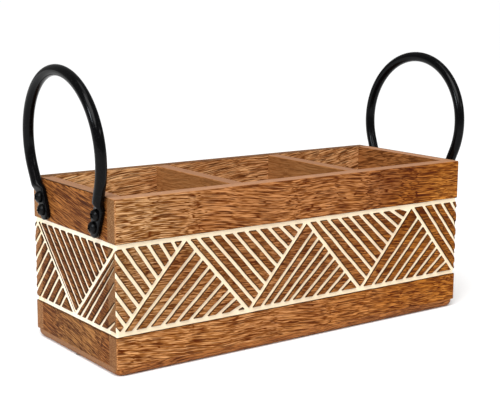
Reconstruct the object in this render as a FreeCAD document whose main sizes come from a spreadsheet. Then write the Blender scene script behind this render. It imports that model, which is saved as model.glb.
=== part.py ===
"""Cutlery caddy: a carved wooden box with three compartments and two forged rod handles.

Frame: +X along the box, -Y the front face, +Z up, origin on the floor under the middle of the box.
The box is the same after half a turn about Z, so the back wall is the front wall turned round and
the left end is the right end turned round. Lengths are millimetres, angles are degrees.
"""
import FreeCAD, Part
import math
import os
import Sketcher

Vector = FreeCAD.Vector
Rotation = FreeCAD.Rotation

X_AXIS = Vector(1, 0, 0)
Y_AXIS = Vector(0, 1, 0)
Z_AXIS = Vector(0, 0, 1)
QUARTER_TURN = 90
HALF_TURN = 180

# Driving sizes: name, value, what it measures
SIZES = (
    ("length", 305, "box over the end faces"),
    ("width", 116.5, "box over the front and back faces"),
    ("height", 116.5, "floor to rim"),
    ("base_thickness", 6, "bottom board"),
    ("wall_thickness", 10, "front, back and end walls"),
    ("divider_thickness", 10, "cross walls"),
    ("divider_offset", 52, "middle of the box to the middle of a divider"),
    ("edge_easing", 1.2, "sanded radius of the outer wall edges"),
    ("divider_easing", 0.8, "sanded radius of the divider tops"),
    ("base_corner", 6, "radius of the upright corners of the bottom board"),
    ("base_round", 5, "radius along the lower edge of the bottom board"),
    ("upper_margin", 30.7, "rim to the middle of the upper border groove"),
    ("lower_margin", 28.3, "floor to the middle of the lower border groove"),
    ("border_groove", 3, "width of the border grooves"),
    ("zigzag_groove", 2.8, "width of the zigzag grooves"),
    ("hatch_groove", 2.4, "width of the hatching grooves"),
    ("groove_depth", 1.6, "depth of all carving"),
    ("cut_overrun", 2, "how far a cut runs past the wood"),
    ("rod_diameter", 7.6, "round rod of the handles"),
    ("rod_gap", 0.15, "rod to end face where the rod leaves its foot"),
    ("handle_inset", 14.4, "front or back face to the rod's axis where the rod meets its foot"),
    ("arch_rise", 25.8, "rim to the middle of the handle's arch"),
    ("leg_lean", 22, "legs drawn in from upright, in degrees"),
    ("handle_lean", 3, "handle leaning out from upright, in degrees"),
    ("foot_drop", 27.5, "rim to the tip of a foot"),
    ("foot_width", 10.4, "flattened foot across"),
    ("foot_thickness", 4, "flattened foot off the end face"),
    ("foot_easing", 1.2, "rounded edges of a flattened foot"),
    ("foot_ramp", 5.2, "stretch over which the rod is hammered flat"),
    ("first_screw", 7.2, "tip of a foot to its lower screw"),
    ("screw_pitch", 9.2, "lower screw to upper screw of a foot"),
    ("head_gap", 0.3, "upper screw's head to the ramp above it"),
    ("screw_head_diameter", 8, "pan head of a handle screw"),
    ("screw_head_height", 3.2, "pan head of a handle screw"),
    ("screw_head_side", 1.3, "straight side of a pan head"),
    ("screw_shank_diameter", 3.9, "shank of a handle screw"),
    ("screw_length", 11, "handle screw under its head"),
    ("screw_tip", 4, "tapered tip of a handle screw"),
    ("recess_span", 4.6, "cross recess over its arms"),
    ("recess_arm", 1.1, "width of a recess arm"),
    ("recess_depth", 1.3, "depth of the cross recess"),
    ("fit_gap", 0.15, "shank or dowel to its hole, at the radius"),
    ("blind_gap", 0.5, "end of a screw or dowel to the end of its hole"),
    ("dowel_diameter", 5, "wooden dowels"),
    ("dowel_length", 22, "wooden dowels"),
    ("dowel_chamfer", 0.8, "end chamfer of a dowel"),
    ("dowel_wall_depth", 6, "dowel set into a long wall"),
    ("base_screw_inset", 6.5, "outer face of a wall to its base screws"),
    ("base_screw_head", 5.5, "countersunk head of a base screw"),
    ("base_screw_shank", 3, "shank of a base screw"),
    ("base_screw_length", 24, "base screw over its head"),
    ("base_screw_tip", 5, "tapered tip of a base screw"),
    ("base_screw_sink", 0.4, "base screw head above the underside"),
)

# Heights of the corner dowels as shares of the way from the bottom board to the tips of the feet
CORNER_DOWEL_SHARES = (0.2, 0.55, 0.9)
# Heights of the divider dowels as shares of the wall's height
DIVIDER_DOWEL_SHARES = (0.3, 0.7)
# Places of the base screws along a long wall as shares of the box's length
BASE_SCREW_SHARES = (-0.33, 0.0, 0.33)
# Whole angle of the base screws' countersunk heads, in degrees
COUNTERSINK = 90
# Angles off the outward and the sideways direction at which the rod's round is split, to meet the
# flats and the rounded edges of a foot
ROD_SPLIT_ANGLES = (40, 35)
# Two places count as one within this share of the wall's thickness
ROUNDING_ERROR_SHARE = 1e-4


def even_hatch(count, first, step):
    """Evenly stepped hatching: each groove's shares of its triangle's base and right side."""
    return tuple((first[0] + step[0] * number, first[1] + step[1] * number) for number in range(count))


# Turning points of the zigzag as shares of the face's width, from left to right seen from outside.
# They lie in turn on the upper and the lower border, and the outermost ones lie past the corners.
LONG_ZIGZAG_SHARES = (-0.655, -0.49, -0.325, -0.158, 0.006, 0.176, 0.34, 0.498, 0.665)
LONG_STARTS_HIGH = True
END_ZIGZAG_SHARES = (-1.0, -0.48, 0.0, 0.495, 1.0)
END_STARTS_HIGH = False
# Hatching of each triangle between three turning points, given by where each groove starts on the
# triangle's base and ends on its right side
LONG_HATCHING = (
    even_hatch(9, (0.155, 0.085), (0.0915, 0.097)),
    even_hatch(8, (0.083, 0.154), (0.107, 0.1085)),
    even_hatch(9, (0.082, 0.093), (0.096, 0.0985)),
    (
        (0.098, 0.131), (0.179, 0.227), (0.266, 0.333), (0.342, 0.428),
        (0.447, 0.524), (0.553, 0.624), (0.664, 0.722), (0.78, 0.828),
    ),
    even_hatch(9, (0.086, 0.125), (0.0985, 0.1025)),
    even_hatch(7, (0.113, 0.16), (0.107, 0.1115)),
    even_hatch(8, (0.117, 0.112), (0.1, 0.0955)),
)
END_HATCHING = (
    even_hatch(9, (0.11, 0.043), (0.087, 0.093)),
    even_hatch(10, (0.043, 0.036), (0.086, 0.0855)),
    ((0.065, 0.045), (0.127, 0.091), (0.205, 0.175), (0.297, 0.298), (0.381, 0.47)),
)

doc = FreeCAD.newDocument("CutleryCaddy")


def fill_sheet():
    """Write the driving sizes into the sheet, one named cell each."""
    sheet = doc.addObject("Spreadsheet::Sheet", "Sizes")
    for row, (name, value, note) in enumerate(SIZES, start=1):
        sheet.set(f"A{row}", name)
        sheet.set(f"B{row}", str(value))
        sheet.setAlias(f"B{row}", name)
        sheet.set(f"C{row}", note)
    doc.recompute()
    return sheet


sizes = fill_sheet()


def value(formula):
    """Number that a formula of sheet names stands for."""
    return float(sizes.evalExpression(formula))


# Formulas used by more than one piece
WALL_HEIGHT = "(Sizes.height - Sizes.base_thickness)"
INNER_WIDTH = "(Sizes.width - 2 * Sizes.wall_thickness)"
CORNER_X = "(Sizes.length / 2 - Sizes.wall_thickness / 2)"
DOWEL_HOLE = "(Sizes.dowel_diameter + 2 * Sizes.fit_gap)"
SCREW_HOLE = "(Sizes.screw_shank_diameter + 2 * Sizes.fit_gap)"
BASE_SCREW_HOLE = "(Sizes.base_screw_shank + 2 * Sizes.fit_gap)"
SCREW_PILOT_DEPTH = "(Sizes.screw_length - Sizes.foot_thickness + Sizes.blind_gap)"
WALL_DOWEL_DEPTH = "(Sizes.dowel_wall_depth + Sizes.blind_gap)"
END_DOWEL_DEPTH = "(Sizes.dowel_length - Sizes.dowel_wall_depth + Sizes.blind_gap)"
BASE_PILOT_DEPTH = (
    "(Sizes.base_screw_sink + Sizes.base_screw_length - Sizes.base_thickness + Sizes.blind_gap)"
)
# The foot's axis runs from its tip up to the end of the round rod, where the handle starts to lean.
# Its flat has room for both screw heads, and the legs run on from it until they touch the arch.
FOOT_FLAT = (
    "(Sizes.first_screw + Sizes.screw_pitch + Sizes.screw_head_diameter / 2 + Sizes.head_gap)"
)
FOOT_LENGTH = f"({FOOT_FLAT} + Sizes.foot_ramp)"
FOOT_TIP_Z = "(Sizes.height - Sizes.foot_drop)"
LEG_COS = "cos(Sizes.leg_lean * 1deg)"
LEG_SIN = "sin(Sizes.leg_lean * 1deg)"
ROD_END_X = "(Sizes.rod_diameter / 2 + Sizes.rod_gap)"
ROD_END_Y = "(Sizes.width / 2 - Sizes.handle_inset)"
ROD_END_Z = f"({FOOT_TIP_Z} + {FOOT_LENGTH} * {LEG_COS})"
ARCH_Z = f"(Sizes.height + Sizes.arch_rise - {ROD_END_Z})"
ARCH_RADIUS = f"({ROD_END_Y} * {LEG_COS} + {ARCH_Z} * {LEG_SIN})"
LEG_LENGTH = f"(({ARCH_Z} - {ARCH_RADIUS} * {LEG_SIN}) / {LEG_COS})"
DOWEL_RANGE = f"({FOOT_TIP_Z} - Sizes.base_thickness)"


# Document helpers

def new_body(label):
    """Empty body whose label is the name of the piece."""
    body = doc.addObject("PartDesign::Body", label)
    body.Label = label
    return body


def new_sketch(body, name, role, offset="0"):
    """Sketch on one of the body's own origin planes, moved along that plane's normal."""
    plane = next(item for item in body.Origin.OriginFeatures if item.Role == role)
    sketch = body.newObject("Sketcher::SketchObject", name)
    sketch.AttachmentSupport = [(plane, "")]
    sketch.MapMode = "FlatFace"
    sketch.setExpression("AttachmentOffset.Base.z", offset)
    return sketch


def draw_polygon(sketch, points):
    """Closed outline of straight lines."""
    corners = [Vector(x, y, 0) for x, y in points]
    sides = [Part.LineSegment(a, b) for a, b in zip(corners, corners[1:] + corners[:1])]
    sketch.addGeometry(sides, False)


def draw_rectangle(sketch, across, up, centred=False):
    """Rectangle about the upright axis, standing on the level axis or centred on it."""
    half = value(across) / 2
    top = value(up)
    low = -top / 2 if centred else 0
    draw_polygon(sketch, ((-half, low), (half, low), (half, low + top), (-half, low + top)))
    for side in range(4):
        sketch.addConstraint(Sketcher.Constraint("Coincident", side, 2, (side + 1) % 4, 1))
    sketch.addConstraint(Sketcher.Constraint("Horizontal", 2))
    sketch.addConstraint(Sketcher.Constraint("Vertical", 3))
    sketch.addConstraint(Sketcher.Constraint("Symmetric", 0, 1, 0, 2, -2))
    if centred:
        sketch.addConstraint(Sketcher.Constraint("Symmetric", 1, 1, 1, 2, -1))
    else:
        sketch.addConstraint(Sketcher.Constraint("Vertical", 1))
        sketch.addConstraint(Sketcher.Constraint("PointOnObject", 0, 1, -1))
    width_row = sketch.addConstraint(Sketcher.Constraint("DistanceX", 0, 1, 0, 2, 2 * half))
    height_row = sketch.addConstraint(Sketcher.Constraint("DistanceY", 1, 1, 1, 2, top))
    sketch.setExpression(f"Constraints[{width_row}]", across)
    sketch.setExpression(f"Constraints[{height_row}]", up)


def draw_circles(sketch, centres, diameter):
    """Circles of one diameter at places worked out from the sheet."""
    for x, y in centres:
        circle = Part.Circle(Vector(x, y, 0), Z_AXIS, value(diameter) / 2)
        geometry = sketch.addGeometry(circle, False)
        row = sketch.addConstraint(Sketcher.Constraint("Diameter", geometry, value(diameter)))
        sketch.setExpression(f"Constraints[{row}]", diameter)


def add_pad(body, name, profile, depth, flip=False):
    """Pad a sketch or a flat face of the body."""
    pad = body.newObject("PartDesign::Pad", name)
    pad.Profile = profile
    pad.Reversed = flip
    pad.setExpression("Length", depth)
    doc.recompute()
    return pad


def add_pocket(body, name, sketch, depth, flip=False):
    """Pocket a sketch and make sure that it took wood away."""
    before = body.Tip.Shape.Volume
    pocket = body.newObject("PartDesign::Pocket", name)
    pocket.Profile = sketch
    pocket.Reversed = flip
    pocket.setExpression("Length", depth)
    doc.recompute()
    if pocket.Shape.Volume >= before:
        raise RuntimeError(f"{body.Label}: {name} cuts nothing")
    return pocket


def add_fillet(body, name, radius, wanted):
    """Round the edges of the body's last feature that are wanted, judged by their middles."""
    base = body.Tip
    edges = enumerate(base.Shape.Edges, start=1)
    names = [f"Edge{index}" for index, edge in edges if wanted(edge.CenterOfMass)]
    if not names:
        raise RuntimeError(f"{body.Label}: {name} finds no edge")
    fillet = body.newObject("PartDesign::Fillet", name)
    fillet.Base = (base, names)
    fillet.setExpression("Radius", radius)
    doc.recompute()
    return fillet


def add_turned(body, name, points, dome=None):
    """Turn a half section about Z; dome is the middle of an arc that closes the section's top."""
    sketch = new_sketch(body, f"{name}Section", "XZ_Plane")
    corners = [Vector(x, z, 0) for x, z in points]
    sides = [Part.LineSegment(a, b) for a, b in zip(corners, corners[1:])]
    if dome:
        sides.append(Part.Arc(corners[-1], Vector(dome[0], dome[1], 0), corners[0]))
    else:
        sides.append(Part.LineSegment(corners[-1], corners[0]))
    sketch.addGeometry(sides, False)
    turned = body.newObject("PartDesign::Revolution", name)
    turned.Profile = sketch
    turned.ReferenceAxis = (sketch, ["V_Axis"])
    doc.recompute()
    return turned


def is_near(a, b):
    """Whether two lengths are the same but for rounding."""
    return math.isclose(a, b, abs_tol=ROUNDING_ERROR_SHARE * value("Sizes.wall_thickness"))


# Carved band

def clipped(polygon, start, end, inset):
    """Part of a convex polygon that lies left of a directed line by at least an inset."""
    run, rise = end[0] - start[0], end[1] - start[1]
    span = math.hypot(run, rise)

    def depth(point):
        return ((point[1] - start[1]) * run - (point[0] - start[0]) * rise) / span - inset

    kept = []
    for here, after in zip(polygon, polygon[1:] + polygon[:1]):
        d_here, d_after = depth(here), depth(after)
        if d_here >= 0:
            kept.append(here)
        if d_here * d_after < 0:
            share = d_here / (d_here - d_after)
            kept.append(tuple(a + (b - a) * share for a, b in zip(here, after)))
    return kept


def between(start, end, share):
    """Point at a share of the way from start to end."""
    return tuple(a + (b - a) * share for a, b in zip(start, end))


def triangle_strips(left, right, apex, hatching, window):
    """Raised strips of one hatched triangle.

    The base runs from left to right with the apex above it, and the hatching grooves start on the
    base and end on the right side, nearly parallel to the left side.
    """
    border = value("Sizes.border_groove") / 2
    zigzag = value("Sizes.zigzag_groove") / 2
    hatch = value("Sizes.hatch_groove") / 2
    grooves = [(left, apex, zigzag)]
    for base_share, side_share in hatching:
        foot = between(left, right, base_share)
        head = between(apex, right, side_share)
        grooves.append((foot, head, hatch))
    strips = []
    for index, (foot, head, half) in enumerate(grooves):
        strip = clipped(window, left, right, border)
        strip = clipped(strip, right, apex, zigzag)
        strip = clipped(strip, head, foot, half)
        if index + 1 < len(grooves):
            next_foot, next_head, next_half = grooves[index + 1]
            strip = clipped(strip, next_foot, next_head, next_half)
        if len(strip) > 2 and polygon_area(strip) > (2 * hatch) ** 2:
            strips.append(strip)
    return strips


def polygon_area(points):
    """Area inside a polygon."""
    pairs = zip(points, points[1:] + points[:1])
    return abs(sum(a[0] * b[1] - b[0] * a[1] for a, b in pairs)) / 2


def band_strips(face, zigzag_shares, starts_high, hatchings):
    """Raised strips of a face's whole band; level from the middle of the face, up from the floor."""
    low = value("Sizes.lower_margin")
    high = value("Sizes.height - Sizes.upper_margin")
    reach = face / 2 + value("Sizes.cut_overrun")
    strips = []
    for index, hatching in enumerate(hatchings):
        left, apex, right = (share * face for share in zigzag_shares[index:index + 3])
        upright = (index % 2 == 0) != starts_high
        base, tip = (low, high) if upright else (-high, -low)
        window = [(-reach, base), (reach, base), (reach, tip), (-reach, tip)]
        cut = triangle_strips((left, base), (right, base), (apex, tip), hatching, window)
        if not upright:
            cut = [[(x, -z) for x, z in reversed(strip)] for strip in cut]
        strips.extend(cut)
    return strips


LONG_STRIPS = band_strips(
    value("Sizes.length"), LONG_ZIGZAG_SHARES, LONG_STARTS_HIGH, LONG_HATCHING
)
END_STRIPS = band_strips(value("Sizes.width"), END_ZIGZAG_SHARES, END_STARTS_HIGH, END_HATCHING)


def carve_band(body, name, role, face, strips, offset="0", shift="0", turned=False, flip=False):
    """Carve a band into a wall and leave its strips standing.

    The band's level places are measured from the middle of the face seen from outside; shift is that
    middle's place in the wall's own frame, and turned is for a sketch seen from the wall's inside.
    """
    sketch = new_sketch(body, f"{name}Lines", role, offset)
    side = -1 if turned else 1
    middle = value(shift)
    floor = value("Sizes.base_thickness")
    half_groove = value("Sizes.border_groove") / 2
    low = value("Sizes.lower_margin") - half_groove
    high = value("Sizes.height - Sizes.upper_margin") + half_groove
    reach = face / 2 + 2 * value("Sizes.cut_overrun")
    outline = [(-reach, low), (reach, low), (reach, high), (-reach, high)]
    for points in [outline] + strips:
        draw_polygon(sketch, [(middle + side * x, z - floor) for x, z in points])
    return add_pocket(body, name, sketch, "Sizes.groove_depth", flip)


# Wooden walls

def corner_dowel_heights():
    """Heights of the corner dowels above the bottom board, all below the handles' screws."""
    return [share * value(DOWEL_RANGE) for share in CORNER_DOWEL_SHARES]


def divider_dowel_heights():
    """Heights of the divider dowels above the bottom board."""
    return [share * value(WALL_HEIGHT) for share in DIVIDER_DOWEL_SHARES]


def long_panel(label):
    """Front or back wall: outer face on y = 0, inside towards +Y, bottom on z = 0."""
    body = new_body(label)
    sketch = new_sketch(body, "Outline", "XZ_Plane")
    draw_rectangle(sketch, "Sizes.length", WALL_HEIGHT)
    add_pad(body, "Board", sketch, "Sizes.wall_thickness", flip=True)
    half = value("Sizes.length / 2")
    top = value(WALL_HEIGHT)

    def outer_edge(middle):
        on_end = is_near(abs(middle.x), half)
        on_top = is_near(middle.z, top)
        on_face = is_near(middle.y, 0)
        return (on_top and (on_face or on_end)) or (on_end and on_face)

    add_fillet(body, "EasedEdges", "Sizes.edge_easing", outer_edge)
    carve_band(body, "FaceBand", "XZ_Plane", value("Sizes.length"), LONG_STRIPS)
    width = value("Sizes.width")
    carve_band(body, "RightBand", "YZ_Plane", width, END_STRIPS,
               offset="Sizes.length / 2", shift="Sizes.width / 2")
    carve_band(body, "LeftBand", "YZ_Plane", width, END_STRIPS,
               offset="-Sizes.length / 2", shift="Sizes.width / 2", turned=True, flip=True)
    holes = new_sketch(body, "DowelPlaces", "XZ_Plane", "-Sizes.wall_thickness")
    corner, divider = value(CORNER_X), value("Sizes.divider_offset")
    centres = [(x, z) for x in (-corner, corner) for z in corner_dowel_heights()]
    centres += [(x, z) for x in (-divider, divider) for z in divider_dowel_heights()]
    draw_circles(holes, centres, DOWEL_HOLE)
    add_pocket(body, "DowelHoles", holes, WALL_DOWEL_DEPTH, flip=True)
    pilots = new_sketch(body, "PilotPlaces", "XY_Plane")
    inset = value("Sizes.base_screw_inset")
    draw_circles(pilots, [(share * 2 * half, inset) for share in BASE_SCREW_SHARES], BASE_SCREW_HOLE)
    add_pocket(body, "PilotHoles", pilots, BASE_PILOT_DEPTH, flip=True)
    return body


def drill_cross_wall(body, level, heights, pilot_level):
    """Dowel holes in both ends of a wall across the box and the pilot hole in its underside."""
    for side, name in ((1, "Back"), (-1, "Front")):
        offset = f"{-side} * {INNER_WIDTH} / 2"
        holes = new_sketch(body, f"{name}DowelPlaces", "XZ_Plane", offset)
        draw_circles(holes, [(level, z) for z in heights], DOWEL_HOLE)
        add_pocket(body, f"{name}DowelHoles", holes, END_DOWEL_DEPTH, flip=side > 0)
    pilot = new_sketch(body, "PilotPlace", "XY_Plane")
    draw_circles(pilot, [(pilot_level, 0)], BASE_SCREW_HOLE)
    add_pocket(body, "PilotHole", pilot, BASE_PILOT_DEPTH, flip=True)


def end_panel(label):
    """Short wall between the long walls: outer face on x = 0, inside towards -X."""
    body = new_body(label)
    sketch = new_sketch(body, "Outline", "YZ_Plane")
    draw_rectangle(sketch, INNER_WIDTH, WALL_HEIGHT)
    add_pad(body, "Board", sketch, "Sizes.wall_thickness", flip=True)
    top = value(WALL_HEIGHT)

    def outer_top(middle):
        return is_near(middle.z, top) and is_near(middle.x, 0)

    add_fillet(body, "EasedEdge", "Sizes.edge_easing", outer_top)
    carve_band(body, "FaceBand", "YZ_Plane", value("Sizes.width"), END_STRIPS)
    middle_level = -value("Sizes.wall_thickness / 2")
    drill_cross_wall(body, middle_level, corner_dowel_heights(), -value("Sizes.base_screw_inset"))
    pilots = new_sketch(body, "ScrewPlaces", "YZ_Plane")
    floor = value("Sizes.base_thickness")
    draw_circles(pilots, [(y, z - floor) for y, z in handle_screw_places()], SCREW_HOLE)
    add_pocket(body, "ScrewHoles", pilots, SCREW_PILOT_DEPTH)
    return body


def divider(label):
    """Cross wall between two compartments, centred on x = 0."""
    body = new_body(label)
    sketch = new_sketch(body, "Outline", "YZ_Plane", "-Sizes.divider_thickness / 2")
    draw_rectangle(sketch, INNER_WIDTH, WALL_HEIGHT)
    add_pad(body, "Board", sketch, "Sizes.divider_thickness")
    top = value(WALL_HEIGHT)
    half = value("Sizes.divider_thickness / 2")

    def top_side(middle):
        return is_near(middle.z, top) and is_near(abs(middle.x), half)

    add_fillet(body, "EasedEdges", "Sizes.divider_easing", top_side)
    drill_cross_wall(body, 0, divider_dowel_heights(), 0)
    return body


def base_screw_places():
    """Places of all base screws in the box's frame."""
    length = value("Sizes.length")
    row = value("Sizes.width / 2 - Sizes.base_screw_inset")
    places = [(share * length, y) for y in (-row, row) for share in BASE_SCREW_SHARES]
    for x in (length / 2 - value("Sizes.base_screw_inset"), value("Sizes.divider_offset")):
        places += [(-x, 0), (x, 0)]
    return places


def base_board(label):
    """Bottom board under the walls, its corners and lower edge rounded, with countersunk holes."""
    body = new_body(label)
    sketch = new_sketch(body, "Outline", "XY_Plane")
    draw_rectangle(sketch, "Sizes.length", "Sizes.width", centred=True)
    add_pad(body, "Board", sketch, "Sizes.base_thickness")
    half_length, half_width = value("Sizes.length / 2"), value("Sizes.width / 2")

    def corner(middle):
        return is_near(abs(middle.x), half_length) and is_near(abs(middle.y), half_width)

    def underside(middle):
        return is_near(middle.z, 0)

    add_fillet(body, "RoundedCorners", "Sizes.base_corner", corner)
    add_fillet(body, "RoundedUnderside", "Sizes.base_round", underside)
    places = new_sketch(body, "ScrewPlaces", "XY_Plane")
    draw_circles(places, base_screw_places(), BASE_SCREW_HOLE)
    doc.recompute()
    before = body.Tip.Shape.Volume
    hole = body.newObject("PartDesign::Hole", "ScrewHoles")
    hole.Profile = places
    hole.Reversed = True
    hole.DepthType = "ThroughAll"
    hole.HoleCutType = "Countersink"
    hole.HoleCutCustomValues = True
    hole.HoleCutCountersinkAngle = COUNTERSINK
    hole.setExpression("Diameter", BASE_SCREW_HOLE)
    hole.setExpression(
        "HoleCutDiameter",
        "Sizes.base_screw_head + 2 * Sizes.base_screw_sink + 2 * Sizes.fit_gap",
    )
    doc.recompute()
    if hole.Shape.Volume >= before:
        raise RuntimeError("base_board: ScrewHoles cuts nothing")
    return body


# Handles

def handle_screw_places():
    """Places of a handle's four screws on its end face, seen from outside."""
    places = []
    for side in (-1, 1):
        for row in ("Sizes.first_screw", "(Sizes.first_screw + Sizes.screw_pitch)"):
            drop = f"({FOOT_LENGTH} - {row})"
            y = value(f"{ROD_END_Y} - {drop} * {LEG_SIN}")
            places.append((side * y, value(f"{ROD_END_Z} - {drop} * {LEG_COS}")))
    return places


def foot_sketch(body, name, side, drop, middle, lean=0):
    """Sketch square to a foot's axis: drop is its place below the rod's end, middle its place off
    the end face. Its level axis points outwards and its upright axis across the foot."""
    sketch = new_sketch(body, name, "XY_Plane", f"{ROD_END_Z} - {drop} * {LEG_COS}")
    turn = Rotation(Y_AXIS, lean).multiply(Rotation(X_AXIS, -side * value("Sizes.leg_lean")))
    sketch.AttachmentOffset = FreeCAD.Placement(Vector(), turn)
    sketch.setExpression("AttachmentOffset.Base.x", middle)
    sketch.setExpression("AttachmentOffset.Base.y", f"{side} * ({ROD_END_Y} - {drop} * {LEG_SIN})")
    return sketch


def draw_rod_section(sketch):
    """Round of the rod in eight arcs, one for each side and each edge of a foot."""
    outward, sideways = (math.radians(angle) for angle in ROD_SPLIT_ANGLES)
    quarter = (-outward, outward, math.pi / 2 - sideways, math.pi / 2 + sideways)
    angles = [angle + half_turn for half_turn in (0, math.pi) for angle in quarter]
    circle = Part.Circle(Vector(), Z_AXIS, value("Sizes.rod_diameter") / 2)
    for start, end in zip(angles, angles[1:] + [angles[0] + 2 * math.pi]):
        sketch.addGeometry(Part.ArcOfCircle(circle, start, end), False)


def draw_foot_section(sketch, whole=True):
    """Flattened section with rounded edges, or the half of it on one side of the foot's axis."""
    out = value("Sizes.foot_thickness") / 2
    across = value("Sizes.foot_width") / 2
    easing = value("Sizes.foot_easing")

    def edge(side_x, side_y):
        middle = Vector(side_x * (out - easing), side_y * (across - easing), 0)
        on_face = middle + Vector(side_x * easing, 0, 0)
        on_side = middle + Vector(0, side_y * easing, 0)
        on_round = middle + Vector(side_x, side_y, 0).normalize() * easing
        return on_face, on_round, on_side

    front, back = edge(1, 1), edge(-1, 1)
    lines = [Part.Arc(*front), Part.LineSegment(front[2], back[2]), Part.Arc(*reversed(back))]
    if whole:
        far_front, far_back = edge(1, -1), edge(-1, -1)
        lines += [
            Part.LineSegment(back[0], far_back[0]),
            Part.Arc(*far_back),
            Part.LineSegment(far_back[2], far_front[2]),
            Part.Arc(*reversed(far_front)),
            Part.LineSegment(far_front[0], front[0]),
        ]
    else:
        axis_back, axis_front = Vector(-out, 0, 0), Vector(out, 0, 0)
        corners = (back[0], axis_back, axis_front, front[0])
        lines += [Part.LineSegment(a, b) for a, b in zip(corners, corners[1:])]
    sketch.addGeometry(lines, False)


def add_foot(body, name, side):
    """Hammer the end of a leg flat: a ramp, a straight flat and a round tip."""
    rod = foot_sketch(body, f"{name}RodEnd", side, "0", ROD_END_X, value("Sizes.handle_lean"))
    draw_rod_section(rod)
    middle = "Sizes.foot_thickness / 2"
    flat = foot_sketch(body, f"{name}FootTop", side, "Sizes.foot_ramp", middle)
    draw_foot_section(flat)
    ramp = body.newObject("PartDesign::AdditiveLoft", f"{name}Ramp")
    ramp.Profile = rod
    ramp.Sections = [flat]
    ramp.Ruled = True
    doc.recompute()
    half_width = "Sizes.foot_width / 2"
    run = f"{FOOT_FLAT} - {half_width}"
    add_pad(body, f"{name}Flat", (body.Tip, [rod_end(body.Tip, side)]), run)
    half = foot_sketch(body, f"{name}TipSection", side, f"({FOOT_LENGTH} - {half_width})", middle)
    draw_foot_section(half, whole=False)
    tip = body.newObject("PartDesign::Revolution", f"{name}Tip")
    tip.Profile = half
    tip.ReferenceAxis = (half, ["H_Axis"])
    tip.Angle = HALF_TURN
    tip.Reversed = True
    doc.recompute()


def rod_end(feature, side):
    """Name of the flat end of the bar that the next stretch on this side grows from."""
    for index, face in enumerate(feature.Shape.Faces, start=1):
        middle = face.CenterOfMass
        if face.Surface.TypeId == "Part::GeomPlane" and side * middle.y > 0:
            return f"Face{index}"
    raise RuntimeError("the bar has no flat end on that side")


def handle(label):
    """Forged rod handle: end face on x = 0, outwards towards +X, floor on z = 0."""
    body = new_body(label)
    lean = "Sizes.handle_lean * 1deg"
    section = new_sketch(body, "RodSection", "XZ_Plane")
    outwards = Rotation(-Z_AXIS, value("Sizes.handle_lean"))
    section.AttachmentOffset = FreeCAD.Placement(Vector(), outwards)
    section.setExpression("AttachmentOffset.Base.x", f"{ROD_END_X} + {ARCH_Z} * sin({lean})")
    section.setExpression("AttachmentOffset.Base.y", f"{ROD_END_Z} + {ARCH_Z} * cos({lean})")
    section.setExpression("AttachmentOffset.Rotation.Angle", "Sizes.handle_lean")
    draw_circles(section, [(0, value(ARCH_RADIUS))], "Sizes.rod_diameter")
    arch = body.newObject("PartDesign::Revolution", "Arch")
    arch.Profile = section
    arch.ReferenceAxis = (section, ["H_Axis"])
    arch.Midplane = True
    arch.setExpression("Angle", f"{HALF_TURN} + 2 * Sizes.leg_lean")
    doc.recompute()
    for side, name in ((-1, "Front"), (1, "Back")):
        add_pad(body, f"{name}Leg", (body.Tip, [rod_end(body.Tip, side)]), LEG_LENGTH)
        add_foot(body, name, side)
    holes = new_sketch(body, "ScrewPlaces", "YZ_Plane", "Sizes.foot_thickness")
    draw_circles(holes, handle_screw_places(), SCREW_HOLE)
    add_pocket(body, "ScrewHoles", holes, "Sizes.foot_thickness")
    return body


# Fasteners and dowels: one master of each kind, and groups of its copies

def pan_screw_master():
    """Pan-head wood screw: seat on z = 0, head upwards, with a cross recess."""
    body = new_body("pan_screw_master")
    head = value("Sizes.screw_head_diameter") / 2
    shank = value("Sizes.screw_shank_diameter") / 2
    crown = value("Sizes.screw_head_height")
    shoulder = value("Sizes.screw_head_side")
    bottom = -value("Sizes.screw_length")
    points = (
        (0, crown),
        (0, bottom),
        (shank, bottom + value("Sizes.screw_tip")),
        (shank, 0),
        (head, 0),
        (head, shoulder),
    )
    rise = crown - shoulder
    ball = (head ** 2 + rise ** 2) / (2 * rise)
    half_arc = math.asin(head / ball) / 2
    dome = (ball * math.sin(half_arc), crown - ball + ball * math.cos(half_arc))
    add_turned(body, "Screw", points, dome)
    reach = value("Sizes.recess_span") / 2
    arm = value("Sizes.recess_arm") / 2
    quarter = [(reach, -arm), (reach, arm), (arm, arm)]
    cross = []
    for turn in range(4):
        for x, y in quarter:
            for _ in range(turn):
                x, y = -y, x
            cross.append((x, y))
    recess = new_sketch(body, "RecessOutline", "XY_Plane", "Sizes.screw_head_height")
    draw_polygon(recess, cross)
    add_pocket(body, "Recess", recess, "Sizes.recess_depth")
    return body


def base_screw_master():
    """Countersunk wood screw: flat of the head on z = 0, point upwards."""
    body = new_body("base_screw_master")
    head = value("Sizes.base_screw_head") / 2
    shank = value("Sizes.base_screw_shank") / 2
    point = value("Sizes.base_screw_length")
    add_turned(body, "Screw", (
        (0, 0),
        (head, 0),
        (shank, head - shank),
        (shank, point - value("Sizes.base_screw_tip")),
        (0, point),
    ))
    return body


def dowel_master():
    """Wooden dowel along Z from z = 0, chamfered at both ends."""
    body = new_body("dowel_master")
    radius = value("Sizes.dowel_diameter") / 2
    length = value("Sizes.dowel_length")
    chamfer = value("Sizes.dowel_chamfer")
    add_turned(body, "Dowel", (
        (0, 0),
        (radius - chamfer, 0),
        (radius, chamfer),
        (radius, length - chamfer),
        (radius - chamfer, length),
        (0, length),
    ))
    return body


def group(label, master, places, axis=Z_AXIS, turn=0):
    """Group of separate copies of a master at places in the box's frame."""
    copies = []
    for index, (x, y, z) in enumerate(places, start=1):
        copy = doc.addObject("App::Link", f"{label}_{index}")
        copy.LinkedObject = master
        copy.Placement = FreeCAD.Placement(Vector(x, y, z), Rotation(axis, turn))
        copies.append(copy)
    compound = doc.addObject("Part::Compound", label)
    compound.Label = label
    compound.Links = copies
    return compound


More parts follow.
